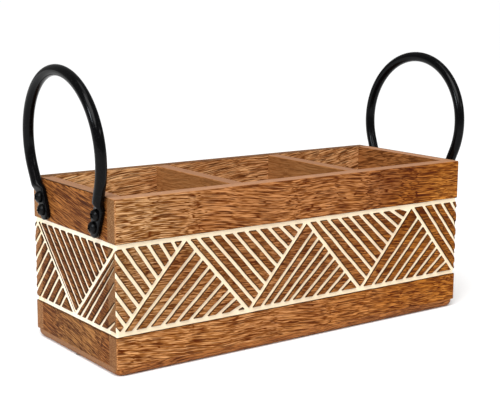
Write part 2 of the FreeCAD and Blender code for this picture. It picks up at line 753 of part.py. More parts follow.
def corner_dowel_places(side):
    """Starts of the dowels between a long wall and both ends; side is -1 for the front."""
    y = side * value("Sizes.width / 2 - Sizes.wall_thickness + Sizes.dowel_wall_depth")
    corner, floor = value(CORNER_X), value("Sizes.base_thickness")
    return [(x, y, floor + z) for x in (-corner, corner) for z in corner_dowel_heights()]


def divider_dowel_places(x, side):
    """Starts of the dowels between a long wall and one divider."""
    y = side * value("Sizes.width / 2 - Sizes.wall_thickness + Sizes.dowel_wall_depth")
    return [(x, y, value("Sizes.base_thickness") + z) for z in divider_dowel_heights()]


# Assembly

parts = []


def keep(piece, x="0", y="0", z="0", turn=0):
    """Turn a piece about Z, bind its place to the sheet and keep it for the hand-over."""
    piece.Placement = FreeCAD.Placement(Vector(), Rotation(Z_AXIS, turn))
    piece.setExpression("Placement.Base.x", x)
    piece.setExpression("Placement.Base.y", y)
    piece.setExpression("Placement.Base.z", z)
    parts.append(piece)


keep(base_board("base_board"))
keep(long_panel("front_panel"), y="-Sizes.width / 2", z="Sizes.base_thickness")
keep(long_panel("back_panel"), y="Sizes.width / 2", z="Sizes.base_thickness", turn=HALF_TURN)
keep(end_panel("left_end_panel"), x="-Sizes.length / 2", z="Sizes.base_thickness", turn=HALF_TURN)
keep(end_panel("right_end_panel"), x="Sizes.length / 2", z="Sizes.base_thickness")
keep(divider("left_divider"), x="-Sizes.divider_offset", z="Sizes.base_thickness")
keep(divider("right_divider"), x="Sizes.divider_offset", z="Sizes.base_thickness")
keep(handle("left_handle"), x="-Sizes.length / 2", turn=HALF_TURN)
keep(handle("right_handle"), x="Sizes.length / 2")

pan_screw = pan_screw_master()
base_screw = base_screw_master()
dowel = dowel_master()
seat_x = value("Sizes.length / 2 + Sizes.foot_thickness")
for side, name in ((-1, "left_handle_screws"), (1, "right_handle_screws")):
    seats = [(side * seat_x, side * y, z) for y, z in handle_screw_places()]
    parts.append(group(name, pan_screw, seats, Y_AXIS, side * QUARTER_TURN))
# A dowel starts inside its long wall and points to the middle of the box
for side, name in ((-1, "front_corner_dowels"), (1, "back_corner_dowels")):
    parts.append(group(name, dowel, corner_dowel_places(side), X_AXIS, side * QUARTER_TURN))
offset = value("Sizes.divider_offset")
for hand, name in ((-1, "left_divider"), (1, "right_divider")):
    for side, place_name in ((-1, "front"), (1, "back")):
        starts = divider_dowel_places(hand * offset, side)
        parts.append(group(f"{name}_{place_name}_dowels", dowel, starts, X_AXIS, side * QUARTER_TURN))
sink = value("Sizes.base_screw_sink")
parts.append(group("base_screws", base_screw, [(x, y, sink) for x, y in base_screw_places()]))

doc.recompute()

# Nothing is written unless every object is sound
for item in doc.Objects:
    if "Invalid" in item.State or "Error" in item.State:
        raise RuntimeError(f"{item.Label} failed: {item.State}")
for piece in parts:
    if piece.Shape.isNull() or not piece.Shape.isValid():
        raise RuntimeError(f"{piece.Label} has no sound shape")

os.makedirs("parts", exist_ok=True)
for piece in parts:
    piece.Shape.exportStep(f"parts/{piece.Label}.step")
    print(f"{piece.Label}: {len(piece.Shape.Solids)} solid(s), {piece.Shape.Volume / 1000:.1f} cm3")
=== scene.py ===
"""Looks of the carved cutlery caddy: oiled boards with a painted hatch band, black forged handles.

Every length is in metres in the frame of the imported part: +X along the box, -Y the front, +Z up.
"""

import logging
import math
from dataclasses import dataclass, field, replace
from enum import Enum
from typing import Iterable, Sequence

import bmesh
import bpy
from mathutils import Matrix, Quaternion, Vector, noise
from mathutils.geometry import delaunay_2d_cdt


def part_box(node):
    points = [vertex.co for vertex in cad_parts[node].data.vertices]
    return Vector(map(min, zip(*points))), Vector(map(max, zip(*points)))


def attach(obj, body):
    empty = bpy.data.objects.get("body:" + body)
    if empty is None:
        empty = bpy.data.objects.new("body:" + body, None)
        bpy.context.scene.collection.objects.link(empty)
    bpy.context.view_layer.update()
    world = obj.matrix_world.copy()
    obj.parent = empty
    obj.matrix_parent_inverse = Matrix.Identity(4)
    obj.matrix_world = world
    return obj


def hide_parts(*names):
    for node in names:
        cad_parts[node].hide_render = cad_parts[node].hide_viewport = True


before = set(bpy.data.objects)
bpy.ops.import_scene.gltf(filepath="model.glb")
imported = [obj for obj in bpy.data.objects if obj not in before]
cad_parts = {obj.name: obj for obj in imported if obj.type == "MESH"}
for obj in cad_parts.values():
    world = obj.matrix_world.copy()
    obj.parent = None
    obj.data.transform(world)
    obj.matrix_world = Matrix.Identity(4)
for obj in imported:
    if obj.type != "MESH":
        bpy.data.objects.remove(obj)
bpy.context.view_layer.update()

LOG = logging.getLogger("cutlery_caddy")
MM = 0.001
NEAR = 0.01 * MM
SAME = 0.001 * MM
TINY = 1e-9
# Share of a side that a rounded corner may take
CORNER_SHARE = 0.45
BODY = "root"
GOUGE_SEED = 7

Point = tuple[float, float]
Triangle = tuple[Point, Point, Point]
Groove = tuple[Point, Point, float, float]
Triple = tuple[float, float, float]
Colour = tuple[float, float, float, float]
Socket = bpy.types.NodeSocket
Sockets = bpy.types.bpy_prop_collection
Material = bpy.types.Material
Piece = bpy.types.Object
Mesh = bmesh.types.BMesh
Vert = bmesh.types.BMVert


class Slot(Enum):
    """Names of the record's material slots."""

    CARVED_WOOD = "carved_wood"
    BLACK_IRON = "black_iron"
    BLACK_SCREW = "black_screw"
    PLATED_STEEL = "plated_steel"


class Attribute(Enum):
    """Values that the meshes carry for their finishes."""

    CARVED = "carved"
    EDGE = "edge"


class Grain(Enum):
    """Direction of the wood's fibres in a board."""

    ALONG = 0.0
    ACROSS = math.radians(-90.0)


# Shader helpers

class ShaderTree:
    """Node tree with short ways to make nodes, set plain values and join sockets."""

    def __init__(self, tree: bpy.types.NodeTree) -> None:
        """Wrap a node tree."""
        self.tree = tree

    def join(self, source: Socket, target: Socket) -> None:
        """Join an output to an input."""
        self.tree.links.new(source, target)

    def add(self, kind: str, values: dict | None = None, **settings: object) -> bpy.types.Node:
        """Make a node.

        Args:
            kind: Blender's name of the node type.
            values: Plain values, or sockets to join, by input name or number.
            settings: Properties of the node itself.

        Returns:
            The new node.
        """
        node = self.tree.nodes.new(kind)
        for name, setting in settings.items():
            setattr(node, name, setting)
        for key, value in (values or {}).items():
            if isinstance(value, Socket):
                self.join(value, node.inputs[key])
            else:
                node.inputs[key].default_value = value
        return node

    def place(self) -> Socket:
        """Place on the piece, in metres."""
        return self.add("ShaderNodeTexCoord").outputs["Object"]

    def carried(self, attribute: Attribute) -> Socket:
        """Value that the mesh carries."""
        return self.add("ShaderNodeAttribute", attribute_name=attribute.value).outputs["Fac"]

    def math(self, operation: str, *values: object) -> Socket:
        """Result of a sum on values or sockets."""
        return self.add("ShaderNodeMath", dict(enumerate(values)), operation=operation).outputs[0]

    def vector(self, operation: str, first: object, second: object) -> Socket:
        """Result of a sum on two vectors."""
        return self.add("ShaderNodeVectorMath", {0: first, 1: second}, operation=operation).outputs[0]

    def mix(self, share: object, first: object, second: object, blend: str = "MIX") -> Socket:
        """Colour between two colours, by a share that may be a socket."""
        values = {0: share, 6: first, 7: second}
        return self.add("ShaderNodeMix", values, data_type="RGBA", blend_type=blend).outputs[2]

    def cover(self, colour: object, tint: Colour, mask: Socket, share: float) -> Socket:
        """Colour with a tint over it where a mask is, at a share of the mask."""
        return self.mix(self.math("MULTIPLY", mask, share), colour, tint)

    def around(self, middle: float, spread: float, cloud: Socket) -> Socket:
        """Value that a cloudy value spreads about a middle."""
        return self.math("MULTIPLY_ADD", cloud, spread, middle - spread / 2)

    def fade(self, value: object, low: float, high: float, ends: Point = (0.0, 1.0)) -> Socket:
        """Soft step of a value from the first end at low to the second end at high."""
        values = {0: value, 1: low, 2: high, 3: ends[0], 4: ends[1]}
        return self.add("ShaderNodeMapRange", values, interpolation_type="SMOOTHSTEP").outputs[0]

    def noise(self, vector: Socket, clouds: float | Triple, detail: float) -> Socket:
        """Make a cloudy value.

        Args:
            vector: Place.
            clouds: Clouds per metre, the same or along each axis.
            detail: How many finer layers it has.

        Returns:
            Value from 0 to 1.
        """
        stretch = clouds if isinstance(clouds, tuple) else (clouds,) * 3
        values = {"Vector": self.vector("MULTIPLY", vector, stretch), "Scale": 1.0, "Detail": detail}
        return self.add("ShaderNodeTexNoise", values).outputs["Fac"]

    def ramp(self, value: Socket, colours: Sequence[Colour]) -> Socket:
        """Colour along an even row of colours.

        Args:
            value: Place along the row, from 0 to 1.
            colours: Colours of the row.

        Returns:
            The colour.
        """
        node = self.add("ShaderNodeValToRGB", {0: value})
        elements = node.color_ramp.elements
        while len(elements) < len(colours):
            elements.new(0.5)
        for index, (element, colour) in enumerate(zip(elements, colours)):
            element.position = index / (len(colours) - 1)
            element.color = colour
        return node.outputs[0]

    def bump(self, height: Socket, strength: float, distance: float) -> Socket:
        """Normal of a surface with fine relief."""
        values = {"Strength": strength, "Distance": distance, "Height": height}
        return self.add("ShaderNodeBump", values).outputs[0]


class EffectGroup(ShaderTree):
    """Shared shader group that takes a place and plain values and gives values."""

    def __init__(self, name: str, inputs: Sequence[str], outputs: Sequence[str]) -> None:
        """Start a group with a Vector input.

        Args:
            name: Name of the group.
            inputs: Names of its value inputs.
            outputs: Names of its value outputs.
        """
        super().__init__(bpy.data.node_groups.new(name, "ShaderNodeTree"))
        face = self.tree.interface
        face.new_socket(name="Vector", in_out="INPUT", socket_type="NodeSocketVector")
        for names, way in ((inputs, "INPUT"), (outputs, "OUTPUT")):
            for socket in names:
                face.new_socket(name=socket, in_out=way, socket_type="NodeSocketFloat")
        self.inputs = self.add("NodeGroupInput").outputs
        self.outputs = self.add("NodeGroupOutput").inputs

    def give(self, **values: Socket) -> None:
        """Join results to the group's outputs."""
        for name, value in values.items():
            self.join(value, self.outputs[name])

    def use(self, tree: ShaderTree, vector: Socket, **values: object) -> Sockets:
        """Place the group in a material and give its outputs."""
        node = tree.add("ShaderNodeGroup", {"Vector": vector, **values}, node_tree=self.tree)
        return node.outputs


@dataclass(frozen=True)
class WoodFigure:
    """Forms of the wood's figure, in clouds per metre along and across the fibres, and their shares."""

    swirls: float = 11.0
    swirl_reach: float = 12.0 * MM
    waves: Triple = (70.0, 60.0, 60.0)
    tones: Triple = (7.0, 40.0, 40.0)
    rings: Triple = (30.0, 1100.0, 1100.0)
    streaks: Triple = (48.0, 1500.0, 1500.0)
    fibres: Triple = (130.0, 2500.0, 2500.0)
    pores: Triple = (60.0, 1600.0, 1600.0)
    ring_width: float = 0.075
    tone_share: float = 0.14
    streak_share: float = 0.43
    fibre_share: float = 0.43
    contrast: Point = (0.3, 0.64)
    pore_edge: Point = (0.56, 0.66)


@dataclass(frozen=True)
class SurfaceForms:
    """Forms of paint, wear and coating: clouds per metre, shares and the edges of their masks."""

    paint_clouds: float = 420.0
    paint_uneven: float = 0.15
    brush_clouds: float = 900.0
    paint_edge: Point = (0.5, 0.8)
    # Mask of the grooves' upper edges: scorch and painted shade
    scorch_and_shade_edge: Point = (0.01, 0.16)
    wear_clouds: float = 130.0
    wear_edge: Point = (0.0, 0.35)
    dirt_clouds: float = 42.0
    dirt_edge: Point = (0.45, 0.8)
    peel_clouds: float = 700.0
    grit_clouds: float = 2600.0
    speck_clouds: float = 1500.0
    speck_edge: Point = (0.68, 0.76)
    gloss_clouds: float = 60.0


class SharedEffects:
    """Shader groups that more than one finish uses."""

    def __init__(self) -> None:
        """Build every group once."""
        forms = SurfaceForms()
        self.grain = self._grain(WoodFigure())
        self.carving = self._carving(forms)
        self.wear = self._wear(forms)
        self.coating = self._coating(forms)

    @staticmethod
    def _grain(forms: WoodFigure) -> EffectGroup:
        """Build the wood's figure with its fibres along the vector's first axis.

        Args:
            forms: Forms and shares of the figure.

        Returns:
            Group that gives Figure, Fleck and Fibre.
        """
        group = EffectGroup("wood_grain", ("Ripple",), ("Figure", "Fleck", "Fibre"))
        place = group.inputs["Vector"]
        swirl = group.add("ShaderNodeTexNoise", {"Vector": place, "Scale": forms.swirls, "Detail": 1.0})
        centred = group.vector("SUBTRACT", swirl.outputs["Color"], (0.5, 0.5, 0.5))
        aside = (0.0, forms.swirl_reach, forms.swirl_reach)
        bent = group.vector("ADD", place, group.vector("MULTIPLY", centred, aside))
        wave = group.math("SUBTRACT", group.noise(place, forms.waves, 1.0), 0.5)
        lift = group.math("MULTIPLY", wave, group.inputs["Ripple"])
        rise = group.add("ShaderNodeCombineXYZ", {"Y": lift, "Z": lift}).outputs[0]
        fibres = group.vector("ADD", bent, rise)
        tone = group.noise(fibres, forms.tones, 1.0)
        rings = group.math("SUBTRACT", group.noise(fibres, forms.rings, 0.0), 0.5)
        lines = group.fade(group.math("ABSOLUTE", rings), 0.0, forms.ring_width)
        streak = group.math("MULTIPLY", group.noise(fibres, forms.streaks, 0.0), forms.streak_share)
        fibre = group.noise(fibres, forms.fibres, 1.0)
        figure = group.math("MULTIPLY_ADD", tone, forms.tone_share, streak)
        figure = group.math("MULTIPLY_ADD", fibre, forms.fibre_share, figure)
        figure = group.math("MULTIPLY", group.fade(figure, *forms.contrast), lines)
        pores = group.noise(fibres, forms.pores, 0.0)
        group.give(Figure=figure, Fleck=group.fade(pores, *forms.pore_edge), Fibre=fibre)
        return group

    @staticmethod
    def _carving(forms: SurfaceForms) -> EffectGroup:
        """Build the paint in carved grooves and the dark brown of their upper edges, partly scorched wood
        and partly painted shade.

        Args:
            forms: Forms of paint, wear and coating.

        Returns:
            Group that gives Paint, the edges' scorch with painted shade, and Brush.
        """
        group = EffectGroup("carved_groove", ("Depth",), ("Paint", "Burn", "Brush"))
        place = group.inputs["Vector"]
        uneven = group.math("SUBTRACT", group.noise(place, forms.paint_clouds, 2.0), 0.5)
        depth = group.math("MULTIPLY_ADD", uneven, forms.paint_uneven, group.inputs["Depth"])
        brush = group.noise(place, forms.brush_clouds, 3.0)
        paint = group.fade(depth, *forms.paint_edge)
        group.give(Paint=paint, Burn=group.fade(depth, *forms.scorch_and_shade_edge), Brush=brush)
        return group

    @staticmethod
    def _wear(forms: SurfaceForms) -> EffectGroup:
        """Build rubbed patches along edges and faint dirt over the rest.

        Args:
            forms: Forms of paint, wear and coating.

        Returns:
            Group that gives Rubbed and Dirt.
        """
        group = EffectGroup("edge_wear", ("Edge", "Reach"), ("Rubbed", "Dirt"))
        place = group.inputs["Vector"]
        patches = group.math("SUBTRACT", group.noise(place, forms.wear_clouds, 4.0), 1.0)
        rubbed = group.math("MULTIPLY_ADD", group.inputs["Edge"], group.inputs["Reach"], patches)
        dirt = group.fade(group.noise(place, forms.dirt_clouds, 5.0), *forms.dirt_edge)
        group.give(Rubbed=group.fade(rubbed, *forms.wear_edge), Dirt=dirt)
        return group

    @staticmethod
    def _coating(forms: SurfaceForms) -> EffectGroup:
        """Build the orange-peel skin and cloudy gloss of baked black coating.

        Args:
            forms: Forms of paint, wear and coating.

        Returns:
            Group that gives Peel, Cloud and Speck.
        """
        group = EffectGroup("baked_coating", ("Grit",), ("Peel", "Cloud", "Speck"))
        place = group.inputs["Vector"]
        coarse = group.noise(place, forms.peel_clouds, 1.0)
        fine = group.noise(place, forms.grit_clouds, 1.0)
        speck = group.fade(group.noise(place, forms.speck_clouds, 0.0), *forms.speck_edge)
        peel = group.math("MULTIPLY_ADD", fine, group.inputs["Grit"], coarse)
        group.give(Peel=peel, Cloud=group.noise(place, forms.gloss_clouds, 3.0), Speck=speck)
        return group


# Finishes

def new_material(name: str) -> tuple[Material, ShaderTree, Sockets]:
    """Start a material.

    Args:
        name: Name of the material.

    Returns:
        The material, its tree and the inputs of its main shader.
    """
    made = bpy.data.materials.new(name)
    made.use_nodes = True
    return made, ShaderTree(made.node_tree), made.node_tree.nodes["Principled BSDF"].inputs


@dataclass(frozen=True)
class Stain:
    """Patch of a board that took the oil differently: its middle, reach, tint and strength."""

    middle: Triple
    reach: float
    tint: Colour
    strength: float


@dataclass(frozen=True)
class WoodFinish:
    """Oiled mango wood of one board."""

    name: str
    dark: Colour = (0.085, 0.0135, 0.0006, 1.0)
    middle: Colour = (0.25, 0.083, 0.017, 1.0)
    light: Colour = (0.53, 0.23, 0.084, 1.0)
    fleck: Colour = (0.048, 0.0068, 0.0003, 1.0)
    # Colour of the tops: partly pale bare wood, partly painted light from above
    rim: Colour = (0.46, 0.245, 0.14, 1.0)
    end_grain: Colour = (0.147, 0.067, 0.0275, 1.0)
    paint: Colour = (0.93, 0.785, 0.58, 1.0)
    # Dark brown at the grooves' upper edges: partly scorched wood, partly painted shade in the grooves
    groove_scorch_and_shade: Colour = (0.022, 0.009, 0.003, 1.0)
    # Darkening over the carved band: partly scorched wood, partly painted shade of the carving
    band_scorch_and_shade: Colour = (0.77, 0.75, 0.74, 1.0)
    grain: Grain = Grain.ALONG
    slant: float = 0.0
    offset: float = 0.0
    fleck_strength: float = 0.7
    ripple: float = 0.9 * MM
    wear_reach: float = 0.9
    rubbed: float = 0.15
    groove_scorch_and_shade_share: float = 0.9
    dirt: float = 0.2
    end_strength: float = 0.65
    rim_strength: float = 0.72
    roughness: float = 0.56
    roughness_spread: float = 0.2
    paint_roughness: float = 0.2
    rim_roughness: float = 0.1
    gloss: float = 0.045
    bump: float = 0.4
    relief: float = 0.3 * MM
    pore_relief: float = -0.8
    fibre_relief: float = 0.5
    # How squarely a face looks along the fibres, or up, where end grain or a pale top with painted light
    # starts and is full
    end_turn: Point = (0.75, 0.95)
    top_turn: Point = (0.7, 0.97)
    stains: tuple[Stain, ...] = ()
    stain_clouds: Triple = (26.0, 26.0, 60.0)
    stain_core: float = 0.3
    band: Point | None = None
    band_scorch_and_shade_edge: float = 1 * MM

    def material(self, effects: SharedEffects) -> Material:
        """Make the material.

        Args:
            effects: Shared shader groups.

        Returns:
            Material with grain, pores, carved paint, worn edges, painted shade with scorch at the grooves
            and over the band, and pale tops with painted light.
        """
        made, tree, shader = new_material(self.name)
        place = tree.place()
        wood = effects.grain.use(tree, self._along(tree, place), Ripple=self.ripple)
        wear = effects.wear.use(tree, place, Edge=tree.carried(Attribute.EDGE), Reach=self.wear_reach)
        groove = effects.carving.use(tree, place, Depth=tree.carried(Attribute.CARVED))
        # Pale tops are partly bare wood and partly painted light from above
        colour, pale_and_lit_top = self._end_and_rim(tree, self._oiled(tree, place, wood))
        colour = tree.cover(colour, self.light, wear["Rubbed"], self.rubbed)
        # Painted shade in the grooves, with scorched wood, darkens the strips' edges
        colour = tree.cover(colour, self.groove_scorch_and_shade, groove["Burn"], self.groove_scorch_and_shade_share)
        paint = tree.cover(self.paint, self.light, wear["Dirt"], self.dirt)
        tree.join(tree.mix(groove["Paint"], colour, paint), shader["Base Color"])
        rough = tree.around(self.roughness, self.roughness_spread, wood["Fibre"])
        rough = tree.math("MULTIPLY_ADD", groove["Paint"], self.paint_roughness, rough)
        rough = tree.math("MULTIPLY_ADD", pale_and_lit_top, self.rim_roughness, rough)
        tree.join(rough, shader["Roughness"])
        shader["Specular IOR Level"].default_value = self.gloss
        pores = tree.math("MULTIPLY", wood["Fleck"], self.pore_relief)
        height = tree.math("MULTIPLY_ADD", wood["Fibre"], self.fibre_relief, pores)
        height = tree.math("MULTIPLY_ADD", groove["Brush"], groove["Paint"], height)
        tree.join(tree.bump(height, self.bump, self.relief), shader["Normal"])
        return made

    def _along(self, tree: ShaderTree, place: Socket) -> Socket:
        """Turn a place so that the fibres run along its first axis.

        Args:
            tree: Tree of the material.
            place: Place on the piece.

        Returns:
            The turned place.
        """
        lean = (self.slant, 0.0) if self.grain is Grain.ACROSS else (0.0, self.slant)
        values = {
            "Vector": place,
            "Location": (self.offset,) * 3,
            "Rotation": (*lean, self.grain.value),
        }
        return tree.add("ShaderNodeMapping", values).outputs[0]

    def _oiled(self, tree: ShaderTree, place: Socket, wood: Sockets) -> Socket:
        """Colour the figure with its pores, stains and the darkening over the carved band, partly scorched
        wood and partly painted shade.

        Args:
            tree: Tree of the material.
            place: Place on the piece.
            wood: Outputs of the grain group.

        Returns:
            The colour.
        """
        colour = tree.ramp(wood["Figure"], (self.dark, self.middle, self.light))
        colour = tree.cover(colour, self.fleck, wood["Fleck"], self.fleck_strength)
        for stain in self.stains:
            colour = tree.mix(self._patch(tree, place, stain), colour, stain.tint, "MULTIPLY")
        if self.band is None:
            return colour
        low, high = self.band
        half = (high - low) / 2
        height = tree.add("ShaderNodeSeparateXYZ", {0: place}).outputs["Z"]
        off = tree.math("ABSOLUTE", tree.math("SUBTRACT", height, (low + high) / 2))
        # Painted shade, with scorched wood, darkens the carved band
        return tree.mix(tree.fade(off, half, half - self.band_scorch_and_shade_edge), colour, self.band_scorch_and_shade, "MULTIPLY")

    def _patch(self, tree: ShaderTree, place: Socket, stain: Stain) -> Socket:
        """Mask one stain.

        Args:
            tree: Tree of the material.
            place: Place on the piece.
            stain: The stain.

        Returns:
            Cloudy mask, up to the stain's strength.
        """
        far = tree.add("ShaderNodeVectorMath", {0: place, 1: stain.middle}, operation="DISTANCE")
        cloud = tree.math("SUBTRACT", tree.noise(place, self.stain_clouds, 3.0), 0.5)
        uneven = tree.math("MULTIPLY_ADD", cloud, stain.reach, far.outputs["Value"])
        return tree.fade(uneven, stain.reach * self.stain_core, stain.reach, (stain.strength, 0.0))

    def _end_and_rim(self, tree: ShaderTree, colour: Socket) -> tuple[Socket, Socket]:
        """Lay grey-brown end grain and pale tops over a colour; the tops are partly bare wood and partly
        painted light from above.

        Args:
            tree: Tree of the material.
            colour: Colour of the oiled wood.

        Returns:
            The colour and the mask of the tops.
        """
        normal = tree.add("ShaderNodeNewGeometry").outputs["Normal"]
        parts = tree.add("ShaderNodeSeparateXYZ", {0: normal}).outputs
        across = tree.math("ABSOLUTE", parts["Y" if self.grain is Grain.ACROSS else "X"])
        ends = tree.fade(across, *self.end_turn, (0.0, self.end_strength))
        colour = tree.mix(ends, colour, self.end_grain)
        # Faces that look up get painted light from above over their pale bare wood
        pale_and_lit_top = tree.fade(parts["Z"], *self.top_turn)
        return tree.cover(colour, self.rim, pale_and_lit_top, self.rim_strength), pale_and_lit_top


@dataclass(frozen=True)
class CoatedFinish:
    """Baked black coating on iron."""

    name: str
    colour: Colour = (0.0012, 0.0012, 0.0014, 1.0)
    bare: Colour = (0.022, 0.022, 0.024, 1.0)
    wear_reach: float = 0.8
    rubbed: float = 0.6
    specks: float = 0.3
    roughness: float = 0.16
    roughness_spread: float = 0.16
    gloss: float = 0.1
    grit: float = 0.3
    bump: float = 0.12
    relief: float = 0.08 * MM

    def material(self, effects: SharedEffects) -> Material:
        """Make the material.

        Args:
            effects: Shared shader groups.

        Returns:
            Material with orange peel, cloudy gloss and rubbed spots.
        """
        made, tree, shader = new_material(self.name)
        place = tree.place()
        coat = effects.coating.use(tree, place, Grit=self.grit)
        wear = effects.wear.use(tree, place, Edge=tree.carried(Attribute.EDGE), Reach=self.wear_reach)
        colour = tree.cover(self.colour, self.bare, wear["Rubbed"], self.rubbed)
        tree.join(tree.cover(colour, self.bare, coat["Speck"], self.specks), shader["Base Color"])
        rough = tree.around(self.roughness, self.roughness_spread, coat["Cloud"])
        tree.join(rough, shader["Roughness"])
        shader["Specular IOR Level"].default_value = self.gloss
        tree.join(tree.bump(coat["Peel"], self.bump, self.relief), shader["Normal"])
        return made


@dataclass(frozen=True)
class SteelFinish:
    """Zinc-plated steel of the screws under the base."""

    name: str
    colour: Colour = (0.62, 0.6, 0.55, 1.0)
    tarnish: Colour = (0.3, 0.27, 0.22, 1.0)
    roughness: float = 0.34
    roughness_spread: float = 0.2
    grit: float = 0.6
    bump: float = 0.2
    relief: float = 0.05 * MM

    def material(self, effects: SharedEffects) -> Material:
        """Make the material.

        Args:
            effects: Shared shader groups.

        Returns:
            Material with cloudy tarnish.
        """
        made, tree, shader = new_material(self.name)
        shader["Metallic"].default_value = 1.0
        coat = effects.coating.use(tree, tree.place(), Grit=self.grit)
        tree.join(tree.mix(coat["Cloud"], self.colour, self.tarnish), shader["Base Color"])
        rough = tree.around(self.roughness, self.roughness_spread, coat["Cloud"])
        tree.join(rough, shader["Roughness"])
        tree.join(tree.bump(coat["Peel"], self.bump, self.relief), shader["Normal"])
        return made


# Pieces and drawings

def linked(name: str, data: bpy.types.ID) -> Piece:
    """Put a new object into the scene.

    Args:
        name: Name of the object.
        data: Its mesh, lamp or camera.

    Returns:
        The object.
    """
    made = bpy.data.objects.new(name, data)
    bpy.context.scene.collection.objects.link(made)
    return made


def finish_piece(bm: Mesh, name: str, material: Material, sharp: float) -> Piece:
    """Turn a mesh into a piece of the object.

    Args:
        bm: The mesh; it is freed.
        name: Name of the piece.
        material: Its finish.
        sharp: Angle in degrees above which an edge stays crisp.

    Returns:
        The piece, riding on the object's one body.
    """
    bmesh.ops.recalc_face_normals(bm, faces=bm.faces[:])
    if bm.calc_volume(signed=True) < 0:
        bmesh.ops.reverse_faces(bm, faces=bm.faces[:])
    mesh = bpy.data.meshes.new(name)
    bm.to_mesh(mesh)
    bm.free()
    mesh.materials.append(material)
    mesh.shade_smooth()
    mesh.set_sharp_from_angle(angle=math.radians(sharp))
    piece = linked(name, mesh)
    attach(piece, BODY)
    LOG.info("%s: %d vertices, %d faces", name, len(mesh.vertices), len(mesh.polygons))
    return piece


def turned(quarters: int) -> Matrix:
    """Exact turn about the upright axis.

    Args:
        quarters: Number of quarter turns, anticlockwise from above.

    Returns:
        The turn.
    """
    turn = Matrix.Identity(4)
    for _ in range(quarters % 4):
        turn = Matrix(((0, -1, 0, 0), (1, 0, 0, 0), (0, 0, 1, 0), (0, 0, 0, 1))) @ turn
    return turn


def join_rings(bm: Mesh, ring: Sequence[Vert], after: Sequence[Vert]) -> None:
    """Close the gap between two rings of as many points with faces."""
    for i in range(len(ring)):
        bm.faces.new((ring[i - 1], ring[i], after[i], after[i - 1]))


def sides(polygon: Sequence[Point]) -> Iterable[tuple[Point, Point]]:
    """Sides of a closed polygon, each with its start and end."""
    return zip(polygon, [*polygon[1:], *polygon[:1]])


def polygon_area(polygon: Sequence[Point]) -> float:
    """Area inside a polygon."""
    return abs(sum(a[0] * b[1] - b[0] * a[1] for a, b in sides(polygon))) / 2


def between(start: Point, end: Point, share: float) -> Point:
    """Point at a share of the way from start to end."""
    return (start[0] + (end[0] - start[0]) * share, start[1] + (end[1] - start[1]) * share)


def left_of(point: Point, start: Point, end: Point) -> float:
    """How far a point lies left of a directed line.

    Args:
        point: The point.
        start: Start of the line.
        end: End of the line.

    Returns:
        Distance, below 0 on the right.
    """
    run, rise = end[0] - start[0], end[1] - start[1]
    turn = (point[1] - start[1]) * run - (point[0] - start[0]) * rise
    return turn / max(math.hypot(run, rise), TINY)


def clipped(polygon: Sequence[Point], start: Point, end: Point, inset: float = 0.0) -> list[Point]:
    """Cut a convex polygon along a directed line.

    Args:
        polygon: Its corners in order.
        start: Start of the line.
        end: End of the line.
        inset: How far left of the line the kept part starts.

    Returns:
        Corners of the part that lies left of the line.
    """
    kept: list[Point] = []
    for here, after in sides(polygon):
        d_here, d_after = left_of(here, start, end) - inset, left_of(after, start, end) - inset
        if d_here >= 0:
            kept.append(here)
        if d_here * d_after < 0:
            kept.append(between(here, after, d_here / (d_here - d_after)))
    return kept


def moved_left(start: Point, end: Point, at_start: float, at_end: float) -> tuple[Point, Point]:
    """Move both ends of a directed line to the left.

    Args:
        start: Start of the line.
        end: End of the line.
        at_start: Move of the start.
        at_end: Move of the end.

    Returns:
        The moved line.
    """
    run, rise = end[0] - start[0], end[1] - start[1]
    span = math.hypot(run, rise)
    aside = (-rise / span, run / span)
    return (
        (start[0] + aside[0] * at_start, start[1] + aside[1] * at_start),
        (end[0] + aside[0] * at_end, end[1] + aside[1] * at_end),
    )


def shrunk(polygon: Sequence[Point], inset: float) -> list[Point]:
    """Move every side of a convex polygon inwards.

    Args:
        polygon: Its corners, anticlockwise.
        inset: Distance of the move.

    Returns:
        Corners of the smaller polygon, fewer than three where nothing is left.
    """
    kept = list(polygon)
    for start, end in sides(polygon):
        if len(kept) > 2 and math.dist(start, end) > NEAR:
            kept = clipped(kept, start, end, inset)
    return kept


def rounded(polygon: Sequence[Point], radius: float, steps: int, spacing: float) -> list[Point]:
    """Convex polygon with round corners and points along its straight sides.

    Args:
        polygon: Corners, anticlockwise.
        radius: Radius of the corners, less where a side is short.
        steps: Straight pieces in a corner.
        spacing: Greatest distance of points along a side.

    Returns:
        Points of the outline.
    """
    corners = [p for i, p in enumerate(polygon) if math.dist(p, polygon[i - 1]) > 2 * NEAR]
    outline: list[Point] = []
    for index, corner in enumerate(corners):
        before, after = corners[index - 1], corners[(index + 1) % len(corners)]
        near = CORNER_SHARE * min(math.dist(before, corner), math.dist(corner, after))
        to_before = (Vector(before) - Vector(corner)).normalized()
        to_after = (Vector(after) - Vector(corner)).normalized()
        half = to_before.angle(to_after) / 2
        reach = min(radius / math.tan(half), near)
        bulge = reach * math.tan(half)
        middle = Vector(corner) + (to_before + to_after).normalized() * math.hypot(reach, bulge)
        first, last = Vector(corner) + to_before * reach, Vector(corner) + to_after * reach
        if outline:
            outline += spaced(outline[-1], tuple(first), spacing)
        for step in range(steps + 1):
            share = step / steps
            ray = (first - middle).lerp(last - middle, share).normalized() * bulge
            outline.append(tuple(middle + ray))
    return outline + spaced(outline[-1], outline[0], spacing)


def smooth(share: float) -> float:
    """Soft step from 0 to 1."""
    share = min(1.0, max(0.0, share))
    return share * share * (3 - 2 * share)


def spaced(start: Point, end: Point, spacing: float) -> list[Point]:
    """Points between two points, no further apart than the spacing."""
    count = max(1, math.ceil(math.dist(start, end) / spacing))
    return [between(start, end, step / count) for step in range(1, count)]


def steps_between(start: float, end: float, step: float) -> list[float]:
    """Even places from start to end, no further apart than a step, with both ends."""
    count = max(1, math.ceil((end - start) / step))
    return [start + (end - start) * i / count for i in range(count + 1)]


